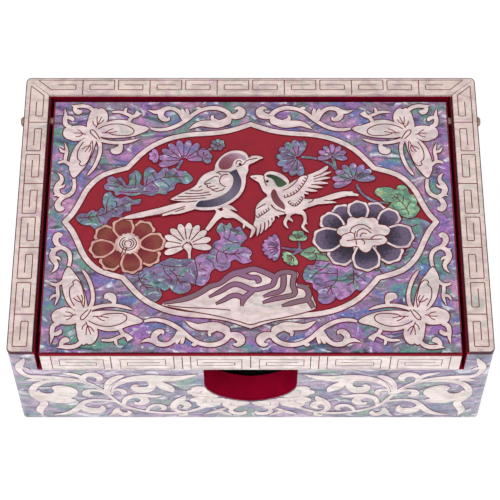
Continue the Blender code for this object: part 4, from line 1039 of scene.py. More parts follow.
RIGHT_BIRD = drawing(loops=(
    (-0.1, 47.8, 1.2, 48.2, 2.6, 48.1, 3.1, 47.9, 3.5, 48.7, 4.3, 49.2, 5.4, 49.2, 6.8, 48.8, 8.2, 47.8,
     9, 46.7, 9.1, 45.8, 8.6, 44.6, 8.6, 42, 9.6, 40.8, 12, 40.6, 14.4, 40.6, 13.4, 39.1, 11.8, 38.2,
     10, 37.2, 8.6, 37.2, 6.8, 38, 5.4, 39, 4.5, 40.4, 4, 41.8, 3.8, 42.8, 3, 43.6, 2.5, 44.8, 2, 46,
     1, 46.8),
    (7, 44.2, 8.6, 45.2, 10.2, 46.5, 11.4, 47.2, 12.2, 47.9, 13.8, 48.1, 15.2, 48.7, 16, 49.1,
     15.6, 47.5, 15.2, 46.2, 14.6, 45, 13.4, 44.2, 12.6, 43, 12.8, 41.9, 12.1, 41, 11.3, 40, 10.4, 39.3,
     9.4, 39.5, 8.6, 40.2, 7.4, 41, 6.7, 42.4),
    (4.2, 42.2, 2.8, 41.2, 1.7, 40, 1.2, 38.4, 1.2, 36.6, 1, 35, 1.1, 33.8, 1.9, 34.4, 2.8, 34.8,
     3.7, 35.2, 4.6, 36, 5.6, 36.6, 6.8, 37, 7.9, 37.3, 6.4, 38.2, 5, 39.2, 4.5, 40.6),
), strokes=(
    (10.4, 39.2, 0.9, 13.6, 40.1, 0.9, 17, 41.2, 0.7, 20, 42.3, 0.75, 22.6, 42.9, 0.7,
     25.5, 42.5, 0.25), (21.6, 43, 0.5, 24.2, 43.4, 0.15),
    (15, 40.4, 0.5, 18, 40.6, 0.42, 20.3, 40.5, 0.06), (11.8, 41, 0.5, 14.7, 41.3, 0.06),
    (13.8, 47.6, 0.6, 16.4, 49, 0.5, 18, 50.2, 0.42, 18.4, 50.8, 0.1),
    (14.4, 47.2, 0.5, 17, 48.3, 0.45, 19.2, 49.1, 0.15),
    (14.4, 46.7, 0.45, 16.6, 47.2, 0.45, 18.9, 47.5, 0.12),
    (14, 46, 0.45, 16.4, 46, 0.42, 18.4, 45.9, 0.12),
    (13.6, 45.1, 0.42, 15.4, 44.9, 0.4, 17.1, 44.7, 0.1),
    (13, 44.2, 0.42, 14.4, 43.9, 0.38, 15.8, 43.7, 0.1), (12.2, 43.4, 0.4, 13.7, 42.9, 0.15),
    (1.3, 35.2, 0.42, 0.9, 33, 0.38, 0.5, 31.6, 0.3, 0, 30.8, 0.08),
    (2, 35.2, 0.36, 1.8, 33, 0.32, 1.5, 31.3, 0.1), (2.8, 35.4, 0.34, 2.8, 33.4, 0.3, 2.3, 31.9, 0.1),
    (3.7, 35.8, 0.34, 3.8, 34, 0.3, 3.4, 32.8, 0.1), (4.4, 36.4, 0.32, 4.7, 34.8, 0.28, 4.3, 33.8, 0.1),
    (5.2, 36.8, 0.3, 5.4, 35.8, 0.22, 5, 35, 0.08), (6.2, 37.2, 0.28, 6.7, 36.4, 0.1),
    (9.4, 37.8, 0.6, 8.7, 36.4, 0.42, 8.1, 35.2, 0.38, 8.2, 34.2, 0.3, 8.8, 33.3, 0.1),
    (8.7, 36.2, 0.35, 9.4, 35.8, 0.3, 9.9, 35.1, 0.08),
    (11, 38.2, 0.9, 12.4, 37.4, 0.5, 12.8, 36, 0.34, 12.6, 34.8, 0.32, 12.2, 33.8, 0.32,
     12.8, 32.9, 0.26, 13.6, 32.2, 0.06), (12.8, 35.2, 0.25, 13.3, 34.4, 0.06),
), lines=(
    (7.7, 43.8, 9, 44.5, 10.2, 45.6, 11, 46.6, 11.2, 47.1), (15, 47.7, 16.8, 48.5, 18, 49.4),
    (15, 47, 17, 47.7), (15, 46.4, 17, 46.6), (14.4, 45.5, 16.6, 45.5), (13.6, 44.6, 15.2, 44.4),
    (13.6, 40.4, 14.6, 40.9, 14.8, 41.4), (4.9, 39.8, 5.8, 38.6, 7.2, 38, 8.2, 37.7),
    (1.4, 38.7, 2.4, 39.4, 3.5, 40.1), (17.4, 41.1, 19, 40.9), (22.6, 42.2, 25, 42.2),
    (3.2, 48, 3.2, 47, 3.6, 46.5, 4.2, 46.3), (3.3, 46.6, 3.5, 45.8, 3.9, 45.2), (0.6, 47.4, 1.4, 47.3),
))

RIGHT_CAP = drawing(loops=(
    (3.6, 48, 4.4, 48.4, 5.6, 48.2, 6.8, 47.6, 8, 46.6, 8.6, 45.8, 8, 45.2, 7.2, 44.8, 6.4, 44.9,
     6, 45.5, 5.6, 46.4, 5, 47.2, 4.2, 47.5),
))

RIGHT_BREAST = drawing(loops=(
    (5.4, 44.2, 6, 43.8, 6.4, 42.6, 7, 41.4, 7.8, 40.3, 8.1, 39.4, 8, 38.5, 7, 39, 6, 39.8, 5.2, 41,
     4.8, 42.4, 4.9, 43.4),
))

HEART = drawing(loops=(
    (20.3, 32, 20.5, 33.2, 21.6, 33.9, 22.6, 34.3, 22.8, 35.7, 23.8, 36.4, 25, 36, 26.2, 36.4,
     27.6, 36.1, 28.9, 36.2, 29.9, 35.4, 30, 34.4, 31.5, 34.1, 32.6, 33.1, 32.2, 31.8, 31.2, 31.2,
     31.9, 30.2, 31.2, 29.2, 29.6, 28.7, 28.5, 28.6, 27.7, 27.3, 26.6, 26.8, 25.6, 27.5, 24.8, 28.5,
     23, 28.3, 21.2, 28.6, 20.8, 29.8, 21.4, 31),
), lines=(
    (23.2, 32.2, 23.8, 33.5, 25.2, 34.3, 26.8, 34.2, 28.2, 33.1),
    (24.8, 31, 25, 32.4, 26, 33.2, 27.2, 32.9, 28.2, 32), (25.6, 31, 26.1, 32, 27.2, 31.8),
    (24.4, 30.2, 24.3, 31.6, 24.6, 32.6), (20.9, 31, 22, 31.7, 23.4, 32.2, 24.2, 31.8),
    (22.4, 29.9, 24.2, 30.2, 26.2, 30.4, 28.2, 30.3, 30.6, 30.4), (25.8, 30.3, 26.6, 29.7, 26.4, 28.9),
    (28, 30.4, 29, 31.3, 30.6, 31.5, 32, 30.9), (24.6, 30, 24.7, 28.8),
))

ROCK = drawing(loops=(
    (-20.2, 13.1, -18.4, 13.9, -15.8, 14.6, -13.4, 15.5, -11.4, 16.7, -9.6, 18.1, -7.2, 19, -5.4, 20.5,
     -3.8, 21.6, -1.6, 22.4, 0.4, 22.9, 2.2, 22.5, 3.8, 21.6, 5.4, 20.9, 6.6, 21.6, 8, 22.1, 9.8, 21.9,
     11, 21.2, 10.7, 19.9, 10.4, 18.7, 11.6, 18.3, 13.2, 18, 13.9, 16.5, 14.3, 14.6, 14.9, 12.4,
     13.6, 11.4, 8, 9.8, 3, 8.8, 0, 7.9, -3, 8.8, -8, 10.2, -14, 11.4, -19.4, 12.6),
))

ROCK_BANDS = drawing(strokes=(
    (-20, 13.3, 0.2, -16, 14.2, 0.52, -13.2, 15.2, 0.59, -11.2, 16.4, 0.59, -9.4, 17.7, 0.59,
     -7, 18.6, 0.52, -5.2, 20.3, 0.65, -3.6, 21.2, 0.72, -1.2, 21.9, 0.65, 0.6, 22.4, 0.59,
     2.4, 21.9, 0.59, 4.4, 20.9, 0.59, 5.6, 20.3, 0.65, 6.6, 21.2, 0.52, 8.2, 21.6, 0.52,
     9.8, 21.3, 0.52, 10.5, 20.6, 0.39),
    (-9.6, 14.9, 0.13, -7, 16.4, 0.45, -5, 17.8, 0.52, -3.6, 18.3, 0.55, -2.2, 18, 0.55,
     -0.6, 17.2, 0.55, 1, 16.8, 0.47, 3, 17.3, 0.47, 5, 18.1, 0.52, 5.6, 19.8, 0.52),
    (-8, 13.1, 0.13, -6, 14.2, 0.42, -4.4, 15.2, 0.49, -3, 15.3, 0.52, -1.7, 14.7, 0.55,
     -0.8, 15.3, 0.52, 0.4, 16.5, 0.47), (-2, 12.5, 0.13, -1.8, 13.8, 0.44, -1.2, 14.9, 0.44),
    (2.9, 15, 0.13, 4.8, 15.8, 0.47, 6.6, 16.4, 0.52, 7.4, 17.4, 0.52, 7.6, 19, 0.55, 7.6, 20.8, 0.52),
    (2.7, 13.4, 0.13, 5, 14.3, 0.47, 7.6, 14.9, 0.49, 9.6, 15.4, 0.52, 10.2, 16.4, 0.52, 9.7, 18, 0.52,
     9.9, 19.8, 0.52, 10.2, 21, 0.45),
    (7.1, 12.6, 0.13, 9, 13.2, 0.49, 11, 13.8, 0.55, 12.8, 14.3, 0.55, 13.4, 15.8, 0.55,
     12.6, 17.4, 0.55, 10.6, 18, 0.45), (13.1, 14.4, 0.52, 13.8, 13.2, 0.47, 14.4, 12, 0.33),
    (-3.2, 21.2, 0.52, -1.6, 20.7, 0.55, 0, 20.1, 0.55, 1.5, 20, 0.52, 1.9, 19.2, 0.47, 1.1, 18.8, 0.2),
), lines=(
    (-19, 12.7, -15, 12.2, -9, 11.9, -4.6, 11.5),
))

# Each leaf: its paint and its drawing
LEAVES = {
    "leaf_spray_left": ("sea_abalone", drawing(loops=(
        (-30.4, 20.9, -29.2, 19.2, -28.3, 17.5, -27, 16.3, -26.4, 17, -25.7, 15.2, -24.2, 14,
         -22.4, 13.6, -21, 14.4, -20.4, 15.8, -21, 17.3, -19.8, 16.7, -18.7, 17.4, -18.8, 18.6,
         -18.1, 16.7, -16.3, 15.8, -14.5, 16.3, -13.7, 17.6, -14.2, 19, -12.9, 18.2, -12.4, 19.6,
         -12.2, 22, -12.5, 24.2, -14, 25.3, -16.4, 24.9, -18.6, 25.3, -20.6, 24.4, -22.6, 23.2,
         -25, 22.6, -27.6, 21.8),
    ), lines=(
        (-25.4, 22.4, -25.9, 20.8, -25.2, 18.8, -23.4, 16.8), (-25.9, 20.9, -27.2, 20.2),
        (-25.5, 19.6, -26.9, 18.8), (-25, 18.4, -25.4, 17.2), (-25.6, 19.8, -23.8, 19.6),
        (-24.8, 18.4, -22.8, 18), (-24.9, 20.6, -23.8, 21.2),
        (-20.2, 22.8, -19.6, 21.2, -18.4, 20, -18.3, 18.8),
        (-18.8, 22.4, -17.4, 20.8, -16.4, 19, -15.6, 18), (-17.4, 20.8, -15.4, 20.4),
        (-16.8, 19.8, -17.2, 18.4), (-16.2, 18.8, -14.8, 19.2),
        (-20.9, 23.6, -17.6, 23, -15.4, 23.2, -13.8, 24.4), (-21.6, 17.6, -21.2, 16.2),
        (-24.2, 17.6, -22.4, 17.4),
    ))),
    "leaf_spray_middle": ("violet_abalone", drawing(loops=(
        (-12.8, 25.3, -11.4, 26.4, -9.7, 26.6, -9.2, 28.2, -8.3, 29.8, -7, 30.4, -7.2, 31.6, -8, 33,
         -7, 34.9, -5.8, 34.2, -4.9, 35, -4, 33.4, -2.6, 33.9, -1.6, 32.2, -0.8, 30.8, -1.9, 29.6,
         -2.4, 28.4, -0.9, 28.2, 0.3, 26.8, -0.3, 25.5, 0.2, 24.5, -1.8, 23.9, -3.4, 24.9, -4.6, 24.4,
         -4.9, 22.8, -6.8, 21.8, -8.2, 22.6, -9.3, 21.4, -9.6, 19.6, -11, 18, -12.6, 18.4, -12.2, 20.6,
         -12.4, 23),
    ), lines=(
        (-8.8, 28.4, -7.2, 27.2, -5, 26.4, -2.4, 26.6), (-7.4, 27.4, -8, 25.8, -7.6, 24),
        (-6, 26.7, -5.4, 25.2), (-6.4, 27, -4.8, 28.2), (-4, 26.5, -2.8, 27.6),
        (-3.8, 26.4, -2.6, 25.4), (-10.4, 25.4, -8.9, 24.2, -8.4, 22.8), (-11.4, 22.6, -10.2, 21.8),
        (-6.4, 31.2, -4.6, 29.8, -2.4, 29.4), (-5.2, 30.4, -4.8, 31.8), (-6.4, 34.2, -6, 32.6),
        (-4.6, 33.6, -4.8, 32), (-2.8, 32.8, -3.6, 31.4), (-11.4, 20.4, -10.2, 20.9),
        (-11.6, 24.2, -12, 23),
    ))),
    "leaf_upper_left": ("sea_abalone", drawing(loops=(
        (-41.1, 36.6, -39.8, 37.6, -38.6, 37.5, -37.4, 38.5, -36.2, 38, -35.2, 39.2, -34.3, 38.6,
         -34.9, 40.4, -34.8, 42.6, -33.4, 43.6, -32.4, 42.4, -31, 41.7, -29.4, 42.3, -27.8, 41.3,
         -26, 41.5, -26.4, 40.2, -28.2, 39.8, -28.3, 38.2, -30.2, 37.8, -30.4, 36.4, -32.4, 36.6,
         -33.6, 35.2, -33.9, 33.4, -34.8, 31.2, -36.2, 31.6, -36.6, 33.2, -37.6, 34.2, -39.2, 34.4,
         -40.4, 35.2),
    ), lines=(
        (-40.4, 36.2, -37.8, 36.6, -34.8, 37.2, -31.8, 39.2, -28.8, 40.6), (-38.2, 36.6, -37.4, 37.8),
        (-36.4, 36.9, -35.6, 38.2), (-38.4, 36.5, -37.2, 35.4), (-36.2, 36.8, -35.2, 35),
        (-33.9, 37.8, -34, 40, -33.6, 41.8), (-32.6, 38.7, -31.4, 38), (-31.6, 39.4, -31.8, 41),
        (-30.6, 40, -29.6, 39.2),
    ))),
    "leaf_upper_right": ("green_abalone", drawing(loops=(
        (29.4, 43.6, 30.2, 44.6, 32, 44.9, 33.6, 44.6, 34.4, 44, 35, 45.2, 36.2, 45.5, 37.2, 44.6,
         37.6, 43.2, 39, 42.4, 39.4, 41, 39.2, 40, 39.9, 38.8, 39.2, 37.4, 38.2, 36.5, 36.8, 36.4,
         35, 37.2, 33.4, 38.2, 32.5, 39.4, 33.4, 40.6, 31.8, 40.8, 30.8, 42, 29.8, 42.6),
    ), lines=(
        (33.2, 43, 34.6, 41.9, 36, 40.2, 37, 38.4, 37.2, 37.2), (34.2, 42.2, 33.4, 41.8),
        (36, 40.4, 36.2, 42.4), (35.4, 41, 34.2, 40.6), (36.8, 39, 37.6, 40.8),
        (34.8, 41.8, 34.9, 42.8), (36.8, 38.8, 35.4, 38.6),
    ))),
    "leaf_violet": ("violet_abalone", drawing(loops=(
        (12.1, 20.4, 12.5, 22.2, 13.4, 23.4, 14.6, 23.4, 15.4, 24.6, 17, 24.4, 18.2, 24.4, 20.2, 25,
         24.6, 24.6, 27, 24, 29.4, 22.4, 30.4, 20.6, 28.6, 19, 27.4, 17.8, 26, 17, 25, 16.6, 24.2, 17,
         23.2, 15.8, 22, 14.9, 20.4, 14.2, 19.5, 15, 19, 14, 17.6, 13.2, 16.4, 13.3, 15.4, 14.4,
         15.6, 16.2, 14.4, 17.4, 14.2, 18.6, 12.8, 19),
    ), lines=(
        (18.4, 24.2, 17, 22.6, 15.4, 21.6, 13.8, 19.8), (16.6, 22.2, 14.8, 22.6),
        (20, 22.6, 19.9, 19.6, 18.6, 17.8, 17.4, 15.8), (19.9, 21.2, 17.4, 21.2),
        (19.8, 19.6, 17, 18.8), (18.8, 18.1, 16.6, 17.2), (18.4, 17.4, 18.8, 15.8),
        (23.8, 22, 23.8, 19.8, 23.6, 18.2), (23.8, 20.6, 22.2, 20), (23.8, 21.2, 25.6, 20, 26.4, 19.2),
        (23.7, 19.6, 25, 18.6), (23.7, 19.2, 22.4, 18), (24.4, 20.8, 24.9, 19.8),
    ))),
    "leaf_cluster_left": ("sea_abalone", drawing(loops=(
        (-34.4, 44.2, -34.8, 45.4, -34, 46.2, -34.2, 47.4, -33, 48, -32, 47.3, -31, 47.8, -30.2, 46.6,
         -29.4, 45.4, -28.8, 46.6, -29.1, 48.2, -28.2, 49, -27.4, 49.8, -26.5, 49, -26, 47.8, -26.4, 46,
         -25.4, 45.4, -25.5, 47.6, -25.3, 49.6, -24.2, 50.6, -23, 49.8, -22.2, 48.8, -21.2, 50,
         -20.2, 50.7, -19.4, 49.8, -18.3, 50.4, -17.2, 49.6, -15.6, 49.4, -14.4, 48.4, -13.7, 47,
         -15.2, 45.8, -16.8, 46.2, -17.8, 45.8, -18.2, 44.4, -19.6, 43.6, -20.2, 42.8, -22, 43.2,
         -23.6, 42.4, -25.6, 43, -28, 42.4, -30.4, 43, -32, 42.6, -32.4, 43.8),
    ), lines=(
        (-15.6, 47.8, -19, 47.8, -22, 47.2, -24.8, 45.4, -26, 44), (-20.4, 47.6, -20.2, 49.4),
        (-22.6, 47, -23.6, 49), (-21.6, 47.2, -20, 46, -19.2, 44.8), (-23.4, 46.4, -21.8, 44.6),
        (-27.6, 48.6, -27.3, 46.6, -27.6, 44.6), (-18.6, 47.9, -17.6, 49),
        (-33.6, 46.8, -31.6, 46, -29.4, 44.6), (-33.8, 45.4, -31.2, 45), (-31.6, 46.8, -30.4, 45.4),
        (-24.9, 45.6, -24.6, 47.6), (-31.2, 43.6, -27.6, 43.4, -24, 43.8),
    ))),
    "leaf_behind_flower": ("sea_abalone", drawing(loops=(
        (34.4, 35.4, 35.6, 36.3, 37.4, 36, 38.8, 36.4, 40.6, 35.9, 42.2, 34.6, 41.8, 32.4, 40.9, 29.8,
         39.4, 26.8, 37.6, 24.2, 35, 22.4, 32, 21.2, 29.4, 20.4, 27.8, 21.2, 28.4, 22.4, 30, 24.4,
         33, 25.2, 36, 27, 36.6, 30, 36.6, 33.4),
    ), lines=(
        (37.4, 31.4, 38.8, 32), (37.4, 30.2, 38.8, 29.8), (37, 33.6, 39.4, 34.6), (35, 26, 36.6, 26.2),
        (31, 24, 31.4, 22.8), (37.4, 28.8, 38.2, 28), (34.4, 24.6, 34.8, 25.4, 35.8, 25.2),
    ))),
    "leaf_left_of_flower": ("green_abalone", drawing(loops=(
        (11.6, 26.4, 12.6, 27.6, 14.2, 28.4, 15.8, 28.6, 17.8, 28.2, 19.2, 26.6, 18.8, 25, 18, 24,
         16.4, 24.4, 15, 25, 13.8, 24.8, 12.8, 25.6),
    ), lines=(
        (12.4, 26.8, 15.4, 26.6, 17.8, 26), (14.4, 26.7, 15, 27.6), (16.2, 26.5, 16.6, 27.4),
        (15, 26.5, 15.4, 25.4),
    ))),
}

STEMS = drawing(strokes=(
    (12.2, 53.5, 0.3, 14.6, 53.3, 0.3, 17, 52.6, 0.3, 19.2, 51.4, 0.35, 20.8, 49.6, 0.4,
     22.4, 48.4, 0.4), (20.4, 50.2, 0.3, 20, 52, 0.35, 19.6, 53.4, 0.4),
    (25.2, 45.6, 0.3, 26, 43.8, 0.3, 27.6, 42, 0.28, 30, 40.7, 0.28, 32.6, 40.4, 0.22),
    (-17.6, 50.2, 0.35, -17, 51.4, 0.35, -16.4, 52.6, 0.3),
    (-11.2, 55, 0.25, -9.6, 55.8, 0.3, -8.4, 56.4, 0.3),
    (7.2, 28.2, 0.2, 9.2, 27.8, 0.28, 11.6, 27.4, 0.4, 12.6, 27.2, 0.4),
    (11.2, 27.4, 0.3, 11.4, 28.8, 0.25, 11.2, 30, 0.2),
    (11.2, 27.2, 0.35, 10.2, 26.6, 0.3, 9.8, 25.6, 0.3),
))

LEFT_EYE = drawing(strokes=((-2.8, 51.5, 0.3, -2.5, 51.3, 0.38, -2.2, 51.4, 0.25),))
RIGHT_EYE = drawing(strokes=((3.7, 46.6, 0.25, 4.0, 46.4, 0.4, 4.3, 46.3, 0.25),))

# Barbs of the right bird's wings and tail: how many, and the path that they stand on
WING_BARBS = tuple((count, drawing(lines=(row,))["lines"]) for count, row in (
    (11, (8.0, 41.8, 9.8, 42.5, 11.2, 43.6, 12.1, 44.8, 12.9, 46.1, 13.7, 47.8)),
    (8, (8.8, 40.6, 9.6, 39.7, 10.6, 39.5, 11.6, 40.3, 12.4, 41.6)),
    (6, (1.6, 36.2, 2.8, 37.1, 4.4, 38.4)),
))

# Each fan: node, paint, middle, half axes of its ring and of a petal, count, start and sweep
FANS = (
    ("fan_flower_left", "violet_abalone", (-16.0, 52.6), (3.6, 3.2), (2.6, 0.85), 9, 195.0, -185.0),
    ("fan_flower_back", "sea_abalone", (11.2, 53.2), (2.7, 2.9), (2.4, 0.95), 9, 70.0, 210.0),
    ("fan_flower_right", "violet_abalone", (24.6, 46.8), (2.9, 2.7), (2.3, 0.85), 8, 200.0, -190.0),
    ("fan_flower_small", "sea_abalone", (-11.4, 53.4), (1.1, 1.2), (1.1, 0.8), 4, 110.0, -150.0),
    ("sprig_right", "violet_abalone", (6.9, 28.2), (2.4, 1.9), (1.9, 0.62), 8, 110.0, 140.0),
    ("bud_flower_back", "violet_abalone", (19.6, 53.6), (1.9, 1.9), (1.7, 0.65), 7, 190.0, -200.0),
    ("bud_flower_middle", "green_abalone", (11.1, 30.2), (1.0, 1.5), (1.2, 0.75), 4, 160.0, -140.0),
    ("bud_flower_low", "green_abalone", (9.9, 26.0), (1.3, 1.4), (1.3, 0.55), 6, 165.0, 120.0),
    ("star_flower_left", "sea_abalone", (-7.9, 57.0), (0.9, 0.8), (0.9, 0.5), 7, 90.0, 360.0),
    ("leaf_fan_low", "violet_abalone", (-22.4, 53.8), (0.9, 0.9), (1.2, 0.6), 4, 120.0, 130.0),
)

# Petals of the violet flower from the lowest: layer, half axes of one, count, start and sweep
VIOLET_PETALS = (
    ("violet_back", (3.1, 2.5), 2, 69.0, 108.0), ("violet_rear", (3.1, 2.5), 3, 42.0, 162.0),
    ("violet_low", (3.7, 3.0), 2, 233.5, 162.0), ("violet_high", (3.9, 3.2), 3, 193.0, 243.0),
)


# ---- drawings of the walls and of the strips

FRONT_SCROLL = drawing(loops=(
    (42.4, 10.7, 41.5, 10.4, 41.3, 9.6, 42.2, 8.7, 44, 8.3, 46, 8.4, 47.6, 9.1, 48.8, 10.2, 50.2, 11.8,
     50.4, 14, 49.7, 15.4, 48.9, 14, 47.6, 13.5, 46.4, 14.1, 46, 15.3, 46.5, 16.6, 45.8, 17.6,
     44.2, 17.9, 42.4, 17.2, 41, 16, 40.5, 14.4, 41, 12.6, 42, 11.4),
    (7.6, 11.7, 8.6, 14.4, 9.6, 17.2, 11.2, 17.3, 12.6, 17.4, 13.8, 16.5, 13.9, 15.6, 14.9, 14.9,
     14.9, 13.6, 13.8, 13, 13.5, 12.1, 12, 11.8, 10.6, 12, 9.2, 11.4),
    (5.6, 9.4, 6.4, 11, 8.4, 11.1, 10.6, 11.7, 12.8, 11.5, 14.2, 10.6, 14.2, 9.4, 13, 8.8, 12.8, 7.4,
     11.6, 6.1, 10, 5.8, 8.6, 6.4, 7.3, 7.2, 6.9, 8.6),
    (0.35, 8, 0.6, 9.6, 3, 10.2, 5.4, 10.6, 6.5, 9.4, 6.7, 7.6, 6.2, 6, 4.8, 4.9, 3.6, 5.3, 2.9, 6.3,
     1.6, 6.8, 0.9, 7.4),
), strokes=(
    (11, 6.2, 0.6, 13.4, 4.4, 0.5, 16.4, 3, 0.5, 20.2, 2.6, 0.45, 24, 3.3, 0.45, 27, 4.5, 0.45,
     29.6, 6.2, 0.5, 31.4, 8.5, 0.45, 32.7, 11.2, 0.45, 34.1, 14.2, 0.5, 36.2, 17.3, 0.55,
     38.6, 19.6, 0.6, 41.6, 21.1, 0.75, 45, 21.8, 0.95, 48.6, 22.3, 0.95, 51, 22.8, 0.7,
     52.5, 24.6, 0.6, 53, 26.8, 0.75, 52.6, 28.8, 0.9, 51.8, 30.6, 0.6, 51.2, 32.2, 0.05),
    (48.2, 21.4, 0.8, 50.4, 20.9, 0.7, 52.4, 20.8, 0.05),
    (52.6, 27.2, 0.5, 51.4, 26.9, 0.4, 50.8, 26, 0.25),
    (40.4, 20.2, 0.5, 44, 20.5, 0.6, 47.4, 20, 0.75, 49.8, 18.2, 0.85, 51, 15.6, 0.85, 51.1, 12.8, 0.8,
     50.2, 10.6, 0.7, 49.1, 9, 0.9, 49.2, 7.4, 1, 50, 5.6, 1, 50.4, 4, 0.85, 50.2, 2.8, 0.5,
     49.8, 1.2, 0.05),
    (33.4, 13.4, 0.4, 32.4, 16.6, 0.6, 31, 18.8, 0.85, 28.8, 20.6, 1.1, 26.2, 21.6, 1.4, 23, 21.8, 1.6,
     19.4, 21.5, 1.5, 16.4, 21.9, 1.1, 14, 22.8, 0.6, 12.2, 23.7, 0.05),
    (33.8, 13.8, 0.35, 33.7, 16.6, 0.55, 32.9, 19.4, 0.8, 31.6, 21.4, 0.95, 30.2, 22.6, 0.75,
     29.1, 23.2, 0.1),
    (22.2, 20.4, 0.9, 21, 18.6, 1.2, 19.8, 17, 1.5, 18.8, 15.7, 1.1, 18.2, 14.2, 0.1),
    (23.2, 20.4, 0.9, 22.9, 18.2, 0.8, 23.4, 16.6, 1.1, 24.8, 15.5, 1.55, 26.2, 15.8, 1.55,
     27.1, 16.8, 0.95, 26.8, 17.9, 0.6, 26, 18, 0.2),
    (32.6, 13, 0.35, 32.4, 14.8, 0.4, 31.3, 15.7, 0.55, 30.1, 15.2, 0.7, 29.7, 13.8, 0.65,
     30.2, 12.9, 0.3),
    (33.8, 13, 0.35, 35.2, 14.9, 0.45, 37, 15.4, 0.5, 38.4, 14.7, 0.8, 38.6, 13.3, 0.95,
     37.8, 12.4, 0.7, 37, 12.9, 0.2),
    (38.4, 19.6, 0.5, 38.7, 21.6, 0.6, 38, 23.2, 0.8, 36.5, 23.7, 1.1, 35.2, 22.8, 1, 34.9, 21.2, 0.7,
     35.7, 20.4, 0.2),
    (38.9, 20.2, 0.5, 39.2, 22, 0.6, 40.4, 23.4, 0.65, 42, 24.1, 0.5, 43.6, 24.8, 0.05),
    (32, 9.2, 0.35, 34.2, 9.8, 0.45, 36.6, 10, 0.5, 38.6, 9.4, 0.65, 40, 7.8, 0.75, 41.1, 5.6, 0.85,
     42.6, 3.6, 0.8, 44.6, 2.3, 0.55, 47.6, 1.7, 0.05),
    (39.7, 8.6, 0.4, 40, 6.6, 0.6, 39.2, 4.8, 1.3, 37.4, 4, 1.6, 35.9, 4.5, 1.25, 35.2, 6, 0.5,
     35.6, 7.1, 0.1),
    (30.2, 6.8, 0.45, 29.9, 9.2, 0.55, 29, 11.2, 0.8, 27, 12.3, 0.95, 24.6, 12.3, 0.9, 22.4, 12, 0.5,
     20.8, 12.7, 0.05),
    (27, 11.8, 0.6, 25.4, 10.9, 0.9, 25, 9.4, 1.1, 25.8, 8.2, 1, 27, 8.1, 0.7, 27.4, 8.9, 0.25),
    (24.8, 3.8, 0.35, 24.2, 5.6, 0.5, 23, 6.9, 0.65, 21.6, 7, 0.7, 20.7, 5.9, 0.75, 20.9, 4.8, 0.55,
     21.6, 4.6, 0.15),
    (16.4, 3, 0.4, 18, 4.4, 0.65, 18.4, 6.2, 0.8, 17.8, 8, 1.05, 16.8, 9.6, 1.1, 15.9, 11, 0.75,
     15.4, 12.4, 0.05), (17, 8.8, 0.8, 15.6, 8.1, 1.1, 15, 6.8, 0.9, 15.6, 5.6, 0.6, 16.5, 5.3, 0.15),
    (15.8, 3, 0.4, 15.6, 1.8, 0.65, 16.6, 1.4, 0.7, 17.3, 2, 0.15),
    (31.6, 5.6, 0.45, 32.2, 4, 0.7, 32.8, 2.4, 0.6, 34.2, 1.1, 0.05),
    (31.9, 4.4, 0.5, 31.2, 2.5, 0.8, 29.9, 2, 0.9, 29, 3, 0.55, 29.4, 4, 0.15),
    (4.6, 5, 0.5, 4.7, 3.5, 0.6, 3.5, 2.4, 0.75, 1.9, 2.4, 0.75, 1.1, 3.7, 0.35),
    (6, 5.2, 0.4, 7.4, 4.2, 0.6, 6.6, 2.8, 0.7, 5.2, 1.9, 0.45, 4.4, 1.2, 0.05),
    (7.4, 4, 0.5, 9.2, 3, 0.55, 11.4, 1.8, 0.05),
), lines=(
    (32.9, 14.2, 32.3, 17.2, 31.2, 19.6, 29.8, 21.4), (41, 20.6, 45, 21.2, 49, 21.6),
    (10.4, 9.9, 10.9, 8.6, 12, 8), (9.2, 10.2, 9, 8.8), (11, 15.2, 11.8, 14.4, 11.4, 13.4),
    (4.8, 8.6, 4.6, 7), (35, 15.6, 37.6, 18.6, 39.6, 20.2),
))

# The right half of the rail's fret: upright lines and spirals, each a run of corners
LIP_LINES = [
    [(a, 33.5), (a, 27.2), (b, 27.2), (b, 32.0), (c, 32.0), (c, 29.0), (d, 29.0), (d, 30.5),
     (e, 30.5)]
    for a, b, c, d, e in (
        (45.2, 33.4, 43.4, 35.1, 42.0), (17.4, 29.6, 19.3, 28.0, 20.6), (13.6, 2.0, 12.1, 3.6, 10.8),
    )
] + [[(x, 33.5), (x, 27.2)] for x in (31.7, 15.5)]

# The pointed leaves at a crest of the vine: along, rise over the crest and width in each point
VINE_LEAVES = (
    ((-0.05, 0.0, 0.8), (-0.02, 0.10, 1.5), (0.09, 0.15, 1.5), (0.19, 0.12, 0.0)),
    ((0.13, -0.0756, 0.8), (0.20, 0.02, 1.5), (0.30, 0.06, 1.3), (0.38, 0.15, 0.0)),
    ((-0.16, -0.135, 0.7), (-0.22, -0.02, 1.5), (-0.19, 0.10, 1.1), (-0.24, 0.17, 0.0)),
)


def wave(pitch, height):
    """One wave of a wall's vine: the stem, and at each crest a curled leaf and pointed ones."""
    middle, swing, thick, radius = height / 2, 0.27 * height, 0.024 * height, 0.19 * pitch
    strokes = [[
        (i / 12 * pitch, middle + swing * math.sin(2 * math.pi * i / 12), thick) for i in range(13)
    ]]
    for side, x in ((1, 0.25 * pitch), (-1, 0.75 * pitch)):
        curl = []
        for k in range(11):
            r = radius * (1 - 0.078 * k)
            run, rise = around((0.0, swing - radius), r, r, 90 - 36 * k)
            curl.append((x + run, middle + side * rise, thick * (0.8 + 0.14 * k)))
        strokes.append(curl)
        for leaf in VINE_LEAVES:
            strokes.append([
                (x + along * pitch, middle + side * (swing + rise * height), max(thick * wide, VINE_TIP))
                for along, rise, wide in leaf
            ])
    return strokes


